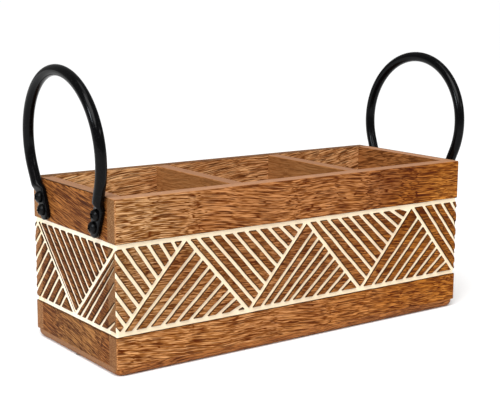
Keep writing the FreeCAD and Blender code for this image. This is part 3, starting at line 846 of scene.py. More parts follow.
class Drawing:
    """Flat drawing that is cut into triangles along its outlines; some points know their depth."""

    def __init__(self) -> None:
        """Start an empty drawing."""
        self.points: list[Vector] = []
        self.depths: list[float | None] = []
        self.edges: list[tuple[int, int]] = []

    def add_points(self, points: Iterable[Point], depth: float | None = None) -> list[int]:
        """Add single points.

        Args:
            points: The points.
            depth: Their depth, where it is known.

        Returns:
            Their numbers.
        """
        first = len(self.points)
        self.points += [Vector(point) for point in points]
        self.depths += [depth] * (len(self.points) - first)
        return list(range(first, len(self.points)))

    def add_line(
        self, points: Iterable[Point], depth: float | None = None, closed: bool = False
    ) -> None:
        """Add an outline that the triangles keep to.

        Args:
            points: Its points in order.
            depth: Their depth, where it is known.
            closed: Whether the last point joins the first.
        """
        numbers = self.add_points(points, depth)
        self.edges += list(zip(numbers, numbers[1:]))
        if closed:
            self.edges.append((numbers[-1], numbers[0]))

    def cut(self) -> tuple[list[Vector], list[float | None], list[list[int]]]:
        """Cut the drawing into triangles.

        Returns:
            Points, known depths and triangles.
        """
        points, _, faces, sources, _, _ = delaunay_2d_cdt(self.points, self.edges, [], 0, SAME)
        depths = []
        for origin in sources:
            known = [self.depths[i] for i in origin if self.depths[i] is not None]
            depths.append(known[0] if known else None)
        return points, depths, faces


# Carved boards

@dataclass(frozen=True)
class BoxSizes:
    """Sizes of the box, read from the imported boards."""

    length: float
    width: float
    height: float
    floor: float
    wall: float

    @classmethod
    def from_frame(cls) -> "BoxSizes":
        """Read the sizes from the front panel."""
        low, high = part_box("front_panel")
        return cls(high.x - low.x, -2 * low.y, high.z, low.z, high.y - low.y)


def even_hatch(count: int, first: Point, step: Point) -> tuple[Point, ...]:
    """Evenly stepped hatching: each groove's shares of its triangle's base and right side."""
    return tuple((first[0] + step[0] * number, first[1] + step[1] * number) for number in range(count))


@dataclass(frozen=True)
class BandPattern:
    """Zigzag of hatched triangles on one face, from left to right seen from outside.

    The zigzag's turning points are shares of the face's width and lie in turn on both borders; each
    groove of a triangle starts at a share of its base and ends at a share of its right side. The
    grooves of a tapered triangle run out to a point before the face's right edge.
    """

    zigzag_shares: tuple[float, ...]
    starts_high: bool
    hatching: tuple[tuple[Point, ...], ...]
    tapered: int | None = None


LONG_BAND = BandPattern(
    (-0.655, -0.49, -0.325, -0.158, 0.006, 0.176, 0.34, 0.498, 0.665),
    True,
    (
        even_hatch(9, (0.155, 0.085), (0.0915, 0.097)),
        even_hatch(8, (0.083, 0.154), (0.107, 0.1085)),
        even_hatch(9, (0.082, 0.093), (0.096, 0.0985)),
        (
            (0.098, 0.131), (0.179, 0.227), (0.266, 0.333), (0.342, 0.428),
            (0.447, 0.524), (0.553, 0.624), (0.664, 0.722), (0.78, 0.828),
        ),
        even_hatch(9, (0.086, 0.125), (0.0985, 0.1025)),
        even_hatch(7, (0.113, 0.16), (0.107, 0.1115)),
        even_hatch(8, (0.117, 0.112), (0.1, 0.0955)),
    ),
)
END_BAND = BandPattern(
    (-1.0, -0.48, 0.0, 0.495, 1.0),
    False,
    (
        even_hatch(9, (0.11, 0.043), (0.087, 0.093)),
        even_hatch(10, (0.043, 0.036), (0.086, 0.0855)),
        ((0.065, 0.045), (0.127, 0.091), (0.205, 0.175), (0.297, 0.298), (0.381, 0.47)),
    ),
    tapered=2,
)


@dataclass(frozen=True)
class Carving:
    """Sizes of the carved band and of its cuts."""

    upper_margin: float = 30.7 * MM
    lower_margin: float = 28.3 * MM
    border: float = 3.0 * MM
    zigzag: float = 2.8 * MM
    hatch: float = 2.4 * MM
    depth: float = 1.6 * MM
    corner: float = 0.55 * MM
    overrun: float = 4.0 * MM
    run_out: float = 0.25 * MM
    lift_start: float = 5.0 * MM
    lift_end: float = 1.4 * MM
    wobble: float = 0.22 * MM
    batter: float = 0.2 * MM
    tight_corner: float = 0.2 * MM
    corner_steps: int = 3
    long_step: float = 3.0 * MM
    short_step: float = 1.0 * MM
    # Section of a groove's wall: distance from its foot and depth as a share of the whole depth
    wall: tuple[Point, ...] = (
        (0.0, 1.0), (0.18 * MM, 0.5), (0.38 * MM, 0.17), (0.72 * MM, 0.03), (1.1 * MM, 0.0)
    )

    def half(self, width: float) -> float:
        """Half of a groove's width at the foot of its sloping walls."""
        return width / 2 - self.batter

    def wall_depth(self, inset: float) -> float:
        """Depth on a groove's wall.

        Args:
            inset: Distance from the foot of the wall.

        Returns:
            Depth, 0 beyond the wall.
        """
        for (near, deep), (far, shallow) in zip(self.wall, self.wall[1:]):
            if inset <= far:
                share = max(0.0, (inset - near) / (far - near))
                return self.depth * (deep + (shallow - deep) * share)
        return 0.0


class CarvedFace:
    """Pattern of one face with its raised strips, in the face's own level and upright places."""

    def __init__(self, pattern: BandPattern, carving: Carving, face: float, height: float) -> None:
        """Lay out the raised strips of a face.

        Args:
            pattern: Zigzag and hatching of the face.
            carving: Sizes of the band and its cuts.
            face: Width of the face.
            height: Height of the rim above the table.
        """
        self.carving = carving
        self.low = carving.lower_margin
        self.high = height - carving.upper_margin
        self.half_face = face / 2
        self.strips: list[list[Point]] = []
        self.taper: tuple[Point, Point] | None = None
        for index, hatching in enumerate(pattern.hatching):
            left, apex, right = (share * face for share in pattern.zigzag_shares[index:index + 3])
            upright = (index % 2 == 0) != pattern.starts_high
            base, tip = (self.low, self.high) if upright else (-self.high, -self.low)
            triangle = (left, base), (right, base), (apex, tip)
            grooves = self._grooves(triangle, hatching)
            if index == pattern.tapered:
                self.taper = (left, base), (apex, tip)
                grooves = [self._tapered(*groove) for groove in grooves]
            strips = self._raised(triangle, grooves)
            if not upright:
                strips = [[(x, -z) for x, z in reversed(strip)] for strip in strips]
            self.strips += strips

    def _grooves(self, triangle: Triangle, hatching: Iterable[Point]) -> list[Groove]:
        """Lay the hatching of one triangle from its base to its right side.

        Args:
            triangle: Its left, right and upper corner.
            hatching: Each groove's shares of the base and of the right side.

        Returns:
            Grooves with their half widths at both ends.
        """
        left, right, apex = triangle
        half = self.carving.half(self.carving.hatch)
        return [
            (between(left, right, base), between(apex, right, side), half, half)
            for base, side in hatching
        ]

    def _tapered(self, foot: Point, head: Point, half: float, _: float) -> Groove:
        """Narrow a groove so that it runs out at the face's right edge.

        Args:
            foot: Its end on the base.
            head: Its end on the right side.
            half: Its half width at the foot.
            _: Its half width at the head, found anew.

        Returns:
            The groove with its half widths at both ends.
        """
        if head[0] <= self.half_face:
            return foot, head, half, half
        share = (self.half_face - foot[0]) / (head[0] - foot[0])
        return foot, head, half, half + (self.carving.run_out - half) / share

    def _raised(self, triangle: Triangle, hatching: list[Groove]) -> list[list[Point]]:
        """Cut the raised strips of one triangle out between its grooves.

        Args:
            triangle: Its left, right and upper corner.
            hatching: Its grooves.

        Returns:
            Corners of each strip.
        """
        left, right, apex = triangle
        cut = self.carving
        reach = self.half_face + cut.overrun
        window = [(-reach, left[1]), (reach, left[1]), (reach, apex[1]), (-reach, apex[1])]
        side = cut.half(cut.zigzag)
        window = clipped(window, left, right, cut.half(cut.border))
        window = clipped(window, right, apex, side)
        grooves = [(left, apex, side, side)] + hatching
        strips = []
        for (foot, head, low, high), after in zip(grooves, grooves[1:] + [None]):
            strip = clipped(window, *moved_left(head, foot, high, low))
            if after:
                foot, head, low, high = after
                strip = clipped(strip, *moved_left(foot, head, low, high))
            if len(strip) > 2 and polygon_area(strip) > cut.hatch ** 2:
                strips.append(strip)
        return strips

    def lift(self, level: float, upright: float) -> float:
        """How far the gouge is lifted near the face's right edge.

        Args:
            level: Level place.
            upright: Height.

        Returns:
            Share of its depth that a groove keeps.
        """
        cut = self.carving
        near = (level - self.half_face + cut.lift_start) / (cut.lift_start - cut.lift_end)
        if self.taper is None or near <= 0:
            return 1.0
        beside = -left_of((level, upright), *self.taper) - cut.half(cut.zigzag)
        above = upright - self.taper[0][1] - cut.half(cut.border)
        clear = min(beside, above)
        return 1 - smooth(near) * smooth(clear / cut.lift_end)

    def depth(self, level: float, upright: float) -> float:
        """Depth of the carving at any place of the face.

        Args:
            level: Level place.
            upright: Height.

        Returns:
            Depth, 0 on uncut wood.
        """
        half = self.carving.half(self.carving.border)
        outside = max(self.low - half - upright, upright - self.high - half)
        if outside >= 0:
            return self.carving.wall_depth(outside)
        for strip in self.strips:
            inset = min(left_of((level, upright), *side) for side in sides(strip))
            if inset > 0:
                return self.carving.wall_depth(inset)
        return self.carving.depth

    def draw(self, drawing: Drawing, start: float, end: float, shift: float) -> None:
        """Add the outlines of the strips between two level places.

        Args:
            drawing: Drawing that takes them.
            start: First level place.
            end: Last level place.
            shift: Move of the outlines in the drawing.
        """
        cut = self.carving
        step = cut.long_step if end - start > self.half_face else cut.short_step
        for strip in self.strips:
            for inset, share in cut.wall:
                ring = shrunk(strip, inset)
                if len(ring) < 3 or polygon_area(ring) < cut.hatch ** 2 / 4:
                    break
                ring = rounded(ring, max(cut.corner - inset, cut.tight_corner), cut.corner_steps, step)
                ring = clipped(ring, (start, 0.0), (start, -1.0))
                ring = clipped(ring, (end, 0.0), (end, 1.0))
                if len(ring) > 2:
                    moved = [(x + shift, z) for x, z in ring]
                    drawing.add_line(moved, share * cut.depth, closed=True)


@dataclass
class CarvedBoard:
    """Wall board: a carved outer face folded round into two sides, with plain top, inside and bottom.

    In the board's own frame +X runs to the right seen from outside, +Y runs into the box and the
    outer face lies on y = 0.
    """

    name: str
    face_width: float
    thickness: float
    floor: float
    top: float
    face: CarvedFace
    right_side: CarvedFace | None = None
    left_side: CarvedFace | None = None
    side_start: float = 0.0
    corner_easing: float = 1.2 * MM
    top_easing: float = 1.2 * MM
    seam_easing: float = 0.3 * MM
    inner_easing: float = 0.6 * MM
    falloff: float = 3.6 * MM
    corner_lift: float = 0.4
    plain_step: float = 7.0 * MM
    band_step: float = 1.5 * MM
    clear: float = 1.0 * MM
    hold: float = 8.0 * MM
    wander: float = 11.0 * MM
    tremor: float = 4.0 * MM
    tremor_share: float = 0.4
    tremor_layer: float = 9.0
    gouge_size: float = 6.0 * MM
    gouge_share: float = 0.12
    gouge_layer: float = 3.0
    worn_edge: float = 3.0 * MM
    worn_floor: float = 2.0 * MM
    sharp: float = 38.0
    seed: float = 0.0

    def build(self, place: Matrix, material: Material) -> Piece:
        """Make the board.

        Args:
            place: Where the board's own frame lies in the box.
            material: Finish of the wood.

        Returns:
            The finished board.
        """
        points, depths, faces = self._drawing().cut()
        bm = bmesh.new()
        carved = bm.loops.layers.float.new(Attribute.CARVED.value)
        edge = bm.loops.layers.float.new(Attribute.EDGE.value)
        verts, cuts = [], []
        for point, depth in zip(points, depths):
            where, cut = self._fold(point.x, point.y, depth)
            verts.append(bm.verts.new(place @ where))
            cuts.append(cut / self.face.carving.depth)
        for corners in faces:
            if all(abs(abs(points[i].x) - self.reach) < NEAR for i in corners):
                continue
            face = bm.faces.new([verts[i] for i in corners])
            for loop, i in zip(face.loops, corners):
                loop[carved] = cuts[i]
                loop[edge] = self._edge(points[i].x, points[i].y)
        self._close(bm, verts, points)
        return finish_piece(bm, self.name, material, self.sharp)

    @property
    def half_face(self) -> float:
        """Half of the outer face's width."""
        return self.face_width / 2

    @property
    def reach(self) -> float:
        """From the middle of the outer face round a corner to the inner plane."""
        return self.half_face + self.thickness

    def _side(self, right: bool) -> tuple[CarvedFace | None, float, float]:
        """Tell how a side face joins the fold.

        Args:
            right: Whether it is the right side.

        Returns:
            Its pattern, its level place at the fold and the direction away from the fold.
        """
        if right:
            return self.right_side, -self.side_start, 1.0
        return self.left_side, self.side_start, -1.0

    def _drawing(self) -> Drawing:
        """Draw the outer face and both side faces flat.

        Returns:
            The drawing.
        """
        drawing = Drawing()
        self.face.draw(drawing, -self.half_face, self.half_face, 0.0)
        for right in (False, True):
            pattern, start, way = self._side(right)
            if pattern:
                ends = sorted((start, start + way * self.thickness))
                shift = self.half_face - start if right else -self.half_face - start
                pattern.draw(drawing, ends[0], ends[1], shift)
        levels = self._levels()
        cut = self.face.carving
        span = self.reach if self.right_side else self.half_face
        inside = [x for x in levels if abs(x) <= span + TINY]
        for inset, share in cut.wall:
            beyond = cut.half(cut.border) + inset
            for height in (self.face.low - beyond, self.face.high + beyond):
                drawing.add_line([(x, height) for x in inside], share * cut.depth)
        for height in self._plain_heights():
            drawing.add_points((x, height) for x in levels)
        heights = self._band_heights()
        for level in self._fold_levels():
            drawing.add_points((level, height) for height in heights)
        for level in (-self.half_face, self.half_face):
            drawing.add_line([(level, height) for height in self._plain_heights() + heights])
        return drawing

    def _fold_levels(self) -> list[float]:
        """Find where points stand beside and on both folds and at both ends of the drawing.

        Returns:
            Level places.
        """
        away = (0.5 * self.corner_easing, self.corner_easing, 2 * self.corner_easing, self.falloff)
        levels = [-self.reach, self.reach]
        for fold in (-self.half_face, self.half_face):
            levels += [fold] + [fold + side * step for step in away for side in (-1, 1)]
        return levels

    def _levels(self) -> list[float]:
        """Find where the plain wood's points stand.

        Returns:
            Level places from left to right.
        """
        count = math.ceil(self.face_width / self.plain_step)
        inner = [-self.half_face + self.face_width * i / count for i in range(1, count)]
        clear = [x for x in inner if self.half_face - abs(x) > self.falloff + self.clear]
        return sorted(clear + self._fold_levels())

    def _plain_heights(self) -> list[float]:
        """Find the heights of the plain wood's points below and above the band.

        Returns:
            Heights from the lower edge to the rim.
        """
        cut = self.face.carving
        gap = cut.half(cut.border) + cut.wall[-1][0] + self.clear
        low, high = self.face.low - gap, self.face.high + gap
        bottom = [self.floor, self.floor + 0.5 * self.seam_easing, self.floor + self.seam_easing]
        upper = [self.top - self.top_easing * share for share in (1.0, 0.75, 0.5, 0.25, 0.0)]
        below = steps_between(bottom[-1], low, self.plain_step)
        above = steps_between(high, upper[0], self.plain_step)
        return bottom + below + above + upper

    def _band_heights(self) -> list[float]:
        """Find the heights of the points along the folds inside the band.

        Returns:
            Heights from below.
        """
        cut = self.face.carving
        beyond = cut.half(cut.border) + cut.wall[-1][0]
        return steps_between(self.face.low - beyond, self.face.high + beyond, self.band_step)

    def _freedom(self, level: float) -> float:
        """How freely the gouge wanders: 0 on the folds and seams, 1 away from them."""
        beside = min(abs(abs(level) - self.half_face), self.reach - abs(level))
        return min(1.0, max(0.0, beside / (2 * self.falloff)))

    def _wobbled(self, level: float, height: float) -> Point:
        """Move a place as a hand-held gouge wanders, but not at the folds, top and bottom.

        Args:
            level: Level place in the drawing.
            height: Height in the drawing.

        Returns:
            The moved place.
        """
        freedom = self._freedom(level)
        lift = min(1.0, (height - self.floor) / self.hold, (self.top - height) / self.hold)
        drift = noise.noise_vector(self._spot(level, height, self.wander, 0.0))
        tremor = noise.noise_vector(self._spot(level, height, self.tremor, self.tremor_layer))
        drift += self.tremor_share * tremor
        amount = self.face.carving.wobble * freedom
        return level + amount * drift.x, height + amount * max(0.0, lift) * drift.y

    def _spot(self, level: float, height: float, size: float, layer: float) -> Vector:
        """Place in a layer of noise with clouds of a size."""
        return Vector((level / size, height / size, self.seed + layer))

    def _fold(self, level: float, height: float, known: float | None) -> tuple[Vector, float]:
        """Fold a point of the flat drawing round the board.

        Args:
            level: Level place in the drawing.
            height: Height in the drawing.
            known: Its depth, where the drawing knows it.

        Returns:
            Place on the board, and how deep it is carved.
        """
        side = 1.0 if level > 0 else -1.0
        past = abs(level) - self.half_face
        face_depth, side_depth, cut = self._depths(level, height, known)
        uneven = noise.noise(self._spot(level, height, self.gouge_size, self.gouge_layer))
        gouge = 1 + self.gouge_share * self._freedom(level) * uneven
        if self.right_side:
            gouge *= 1 - self.corner_lift * max(0.0, 1 - abs(past) / (2 * self.falloff))
        level, height = self._wobbled(level, height)
        past = abs(level) - self.half_face
        turn = math.pi / 4 * min(2.0, max(0.0, 1 + past / self.corner_easing))
        out_x, out_y = math.sin(turn), -math.cos(turn)
        x = min(abs(level), self.half_face - self.corner_easing) + self.corner_easing * out_x
        y = max(0.0, past - self.corner_easing) + self.corner_easing * (1 + out_y)
        if past < -self.corner_easing:
            x, y = abs(level), 0.0
        inward, rise = self._eased(height)
        x -= out_x * inward + side_depth * gouge
        y += -out_y * inward + face_depth * gouge
        return Vector((side * x, y, rise)), cut

    def _depths(self, level: float, height: float, known: float | None) -> Triple:
        """Find how deep a point is carved.

        Args:
            level: Level place in the drawing.
            height: Height in the drawing.
            known: Its depth, where the drawing knows it.

        Returns:
            Depths that push it in from the outer face and from a side face, and its own depth.
        """
        side = 1.0 if level > 0 else -1.0
        past = abs(level) - self.half_face
        if abs(past) < SAME:
            known = None
        pattern, start, way = self._side(level > 0)
        if past < SAME:
            face_depth = cut = self.face.depth(level, height) if known is None else known
        else:
            cut = self.face.depth(side * self.half_face, height)
            face_depth = cut * max(0.0, 1 - past / self.falloff)
        if not pattern:
            return face_depth, 0.0, cut
        place = start + way * max(past, 0.0)
        side_depth = pattern.depth(place, height) if known is None or past < -SAME else known
        side_depth *= pattern.lift(place, height)
        if past > -SAME:
            cut = max(cut, side_depth) if past < SAME else side_depth
        else:
            side_depth *= max(0.0, 1 + past / self.falloff)
        return face_depth, side_depth, cut

    def _eased(self, height: float) -> Point:
        """Round the top and the seam over.

        Args:
            height: Height in the drawing.

        Returns:
            How far the point is drawn inwards, and its height then.
        """
        ends = (self.top, self.top_easing, 1.0), (self.floor, self.seam_easing, -1.0)
        for end, easing, way in ends:
            past = way * (height - end) + easing
            if past > 0:
                turn = min(1.0, past / easing) * math.pi / 2
                return easing * (1 - math.cos(turn)), end - way * easing * (1 - math.sin(turn))
        return 0.0, height

    def _edge(self, level: float, height: float) -> float:
        """How near a place is to the board's outer edges.

        Args:
            level: Level place in the drawing.
            height: Height in the drawing.

        Returns:
            Value from 0 to 1.
        """
        beside = abs(abs(level) - self.half_face)
        near = min(beside, self.top - height, height - self.floor + self.worn_floor)
        return max(0.0, 1 - near / self.worn_edge)

    def _close(self, bm: Mesh, verts: list[Vert], points: list[Vector]) -> None:
        """Add the board's top, inside and bottom and ease the inner top edge.

        Args:
            bm: Mesh of the board.
            verts: Its points.
            points: The same points in the drawing.
        """
        rim_points = [i for i in range(len(points)) if verts[i].is_boundary]
        by_level = sorted(rim_points, key=lambda i: points[i].x)
        by_height = sorted(rim_points, key=lambda i: points[i].y)
        top = [verts[i] for i in by_level if abs(points[i].y - self.top) < NEAR]
        bottom = [verts[i] for i in by_level if abs(points[i].y - self.floor) < NEAR]
        left = [verts[i] for i in by_height if abs(points[i].x + self.reach) < NEAR]
        right = [verts[i] for i in by_height if abs(points[i].x - self.reach) < NEAR]
        flats = [bm.faces.new(loop) for loop in (top, bottom[::-1], left + right[::-1])]
        for flat in flats:
            flat.normal_update()
        rim = bm.edges.get((top[0], top[-1]))
        bmesh.ops.triangulate(bm, faces=flats, ngon_method="EAR_CLIP")
        bmesh.ops.bevel(
            bm, geom=[rim], offset=self.inner_easing, segments=3, profile=0.5, affect="EDGES"
        )
        bmesh.ops.delete(bm, geom=[v for v in bm.verts if not v.link_faces], context="VERTS")


# Handles

@dataclass(frozen=True)
class HandleSizes:
    """Forged rod handle: the same sizes as its solid, and the dents of its feet."""

    rod: float = 7.6 * MM
    rod_gap: float = 0.15 * MM
    inset: float = 14.4 * MM
    arch_rise: float = 25.8 * MM
    leg_lean: float = math.radians(22.0)
    lean: float = math.radians(3.0)
    foot_drop: float = 27.5 * MM
    foot_width: float = 10.4 * MM
    foot_thickness: float = 4.0 * MM
    foot_easing: float = 1.3 * MM
    foot_ramp: float = 5.2 * MM
    first_screw: float = 7.2 * MM
    screw_pitch: float = 9.2 * MM
    head: float = 8.0 * MM
    head_gap: float = 0.3 * MM
    dent_size: float = 5.0 * MM
    dent_depth: float = 0.12 * MM

    @property
    def flat(self) -> float:
        """Tip of a foot to the start of its ramp."""
        return self.first_screw + self.screw_pitch + self.head / 2 + self.head_gap

    @property
    def foot(self) -> float:
        """Tip of a foot to the round rod."""
        return self.flat + self.foot_ramp


@dataclass(frozen=True)
class Station:
    """One section of the handle's bar: its middle, axes, half sizes and squareness.

    The squareness is the power of the section's outline: 2 is round, more is a box with round edges.
    """

    middle: Vector
    outward: Vector
    across: Vector
    half_out: float
    half_across: float
    square: float

    def points(self, count: int) -> list[tuple[Vector, float]]:
        """Lay points round the section.

        Args:
            count: Number of points.

        Returns:
            Points, each with how near it is to an edge.
        """
        found = []
        for step in range(count):
            angle = 2 * math.pi * step / count
            out, off = (
                math.copysign(abs(part) ** (2 / self.square), part)
                for part in (math.cos(angle), math.sin(angle))
            )
            where = self.middle + self.outward * self.half_out * out
            where = where + self.across * self.half_across * off
            found.append((where, (abs(out) * abs(off)) ** 4))
        return found


class Handle:
    """Handle on the right end of the box; the left one is the same after half a turn."""

    RING_POINTS = 44
    ARCH_STEPS = 40
    RAMP_STEPS = 8
    FOOT_STEP = 1.5 * MM
    TIP_ANGLES = (4, 12, 22, 33, 45, 57, 68, 79, 90)
    LEG_SHARES = (0.25, 0.5, 0.75)
    SHARP = 60.0
    # Squareness of the rod and of a foot, and from where on the bar is dented and its edges wear
    ROUND = 2.0
    FLAT = 4.5
    DENTED = 2.1
    WORN = 2.5

    def __init__(self, box: BoxSizes, sizes: HandleSizes) -> None:
        """Work out where the legs meet the arch.

        Args:
            box: Sizes of the box.
            sizes: Sizes of the handle.
        """
        self.box = box
        self.sizes = sizes
        self.rod_end = Vector((
            box.length / 2 + sizes.rod / 2 + sizes.rod_gap,
            box.width / 2 - sizes.inset,
            box.height - sizes.foot_drop + sizes.foot * math.cos(sizes.leg_lean),
        ))
        self.arch_height = box.height + sizes.arch_rise - self.rod_end.z
        self.arch_radius = (
            self.rod_end.y * math.cos(sizes.leg_lean) + self.arch_height * math.sin(sizes.leg_lean)
        )

    def _foot_point(self, distance: float, off: float) -> Vector:
        """Point on a foot's axis.

        Args:
            distance: Distance from the foot's tip.
            off: Distance off the end face.

        Returns:
            The point.
        """
        drop = self.sizes.foot - distance
        return Vector((
            self.box.length / 2 + off,
            self.rod_end.y - drop * math.sin(self.sizes.leg_lean),
            self.rod_end.z - drop * math.cos(self.sizes.leg_lean),
        ))

    def screw_seats(self) -> list[Vector]:
        """Find the seats of the four screws on the feet.

        Returns:
            Middle of each seat.
        """
        sizes = self.sizes
        rows = [sizes.first_screw, sizes.first_screw + sizes.screw_pitch]
        seats = [self._foot_point(row, sizes.foot_thickness) for row in rows]
        return seats + [Vector((seat.x, -seat.y, seat.z)) for seat in seats]

    def _leaning(self, across: float, up: float) -> Vector:
        """Point in the handle's leaning plane.

        Args:
            across: Place across the box.
            up: Way up from the rod's end.

        Returns:
            The point.
        """
        lean = self.sizes.lean
        return Vector((
            self.rod_end.x + up * math.sin(lean), across, self.rod_end.z + up * math.cos(lean)
        ))

    def _foot_stations(self) -> list[Station]:
        """Lay out a foot from its round tip to the end of its ramp.

        Returns:
            Sections of the foot.
        """
        sizes = self.sizes
        half, thick = sizes.foot_width / 2, sizes.foot_thickness / 2
        across = Vector((0.0, math.cos(sizes.leg_lean), -math.sin(sizes.leg_lean)))
        outward = Vector((1.0, 0.0, 0.0))
        distances = [half * (1 - math.cos(math.radians(angle))) for angle in self.TIP_ANGLES]
        distances += steps_between(half + self.FOOT_STEP, sizes.flat, self.FOOT_STEP)
        stations = []
        for distance in distances:
            wide = math.sqrt(max(0.0, half ** 2 - max(0.0, half - distance) ** 2))
            short = max(0.0, sizes.foot_easing - distance)
            trim = sizes.foot_easing - math.sqrt(sizes.foot_easing ** 2 - short ** 2)
            middle = self._foot_point(distance, thick)
            stations.append(Station(middle, outward, across, thick - trim, wide, self.FLAT))
        round_half = sizes.rod / 2
        for step in range(1, self.RAMP_STEPS + 1):
            share = step / self.RAMP_STEPS
            blend = smooth(share)
            middle = self._foot_point(sizes.flat + share * sizes.foot_ramp, 0.0)
            middle.x += thick + (round_half + sizes.rod_gap - thick) * blend
            half_out = thick + (round_half - thick) * blend
            half_across = half + (round_half - half) * blend
            square = self.FLAT + (self.ROUND - self.FLAT) * blend
            stations.append(Station(middle, outward, across, half_out, half_across, square))
        return stations

    def _rod_stations(self) -> list[Station]:
        """Lay out a leg and half of the arch, up to the top.

        Returns:
            Sections of the rod.
        """
        sizes = self.sizes
        outward = Vector((math.cos(sizes.lean), 0.0, -math.sin(sizes.lean)))
        half = sizes.rod / 2
        start = (self.rod_end.y, 0.0)
        join = (
            self.arch_radius * math.cos(sizes.leg_lean),
            self.arch_height - self.arch_radius * math.sin(sizes.leg_lean),
        )
        places = [(*between(start, join, share), -sizes.leg_lean) for share in self.LEG_SHARES]
        for step in range(self.ARCH_STEPS + 1):
            angle = -sizes.leg_lean + (math.pi / 2 + sizes.leg_lean) * step / self.ARCH_STEPS
            across = self.arch_radius * math.cos(angle)
            places.append((across, self.arch_height + self.arch_radius * math.sin(angle), angle))
        stations = []
        for across, up, angle in places:
            side = self._leaning(math.cos(angle), math.sin(angle)) - self._leaning(0.0, 0.0)
            stations.append(Station(self._leaning(across, up), outward, side, half, half, self.ROUND))
        return stations

    def build(self, name: str, quarters: int, material: Material) -> Piece:
        """Make a handle.

        Args:
            name: Name of the piece.
            quarters: Quarter turns about the upright axis of the box.
            material: Finish of the iron.

        Returns:
            The handle as one closed smooth bar.
        """
        half = self._foot_stations() + self._rod_stations()
        flip = Matrix.Diagonal((1.0, -1.0, 1.0))
        mirrored = [
            replace(station, middle=flip @ station.middle, across=flip @ station.across)
            for station in reversed(half[:-1])
        ]
        place = turned(quarters)
        bm = bmesh.new()
        edge = bm.verts.layers.float.new(Attribute.EDGE.value)
        rings = []
        for station in half + mirrored:
            ring = []
            for where, worn in station.points(self.RING_POINTS):
                vert = bm.verts.new(place @ (where + self._dent(where, station)))
                vert[edge] = worn if station.square >= self.WORN else 0.0
                ring.append(vert)
            rings.append(ring)
        for ring, after in zip(rings, rings[1:]):
            join_rings(bm, ring, after)
        for ring in (rings[0], rings[-1]):
            bm.faces.new(ring)
        piece = finish_piece(bm, name, material, self.SHARP)
        return piece

    def _dent(self, where: Vector, station: Station) -> Vector:
        """Dent a flattened foot slightly, as a hammer does.

        Args:
            where: Point on the bar.
            station: Its section.

        Returns:
            Move of the point.
        """
        if station.square < self.DENTED:
            return Vector((0.0, 0.0, 0.0))
        depth = noise.noise(where / self.sizes.dent_size) * self.sizes.dent_depth
        return Vector((min(0.0, depth), 0.0, 0.0))


# Screws

@dataclass(frozen=True)
class ScrewSizes:
    """Cross-recessed wood screw; sink is the length of the cone under a flat head."""

    head: float
    crown: float
    side: float
    shank: float
    length: float
    tip: float
    sink: float = 0.0
    recess_span: float = 4.6 * MM
    recess_arm: float = 1.1 * MM
    recess_depth: float = 1.3 * MM
    recess_lip: float = 0.1 * MM
    recess_draft: float = 0.35 * MM
    easing: float = 0.25 * MM


PAN_SCREW = ScrewSizes(
    head=8.0 * MM, crown=3.2 * MM, side=1.3 * MM, shank=3.9 * MM, length=11.0 * MM, tip=4.0 * MM
)
BASE_SCREW = ScrewSizes(
    head=5.5 * MM, crown=0.0, side=0.0, shank=3.0 * MM, length=24.0 * MM, tip=5.0 * MM, sink=1.25 * MM,
    recess_span=3.2 * MM, recess_arm=0.8 * MM, recess_depth=1.1 * MM, easing=0.1 * MM,
)


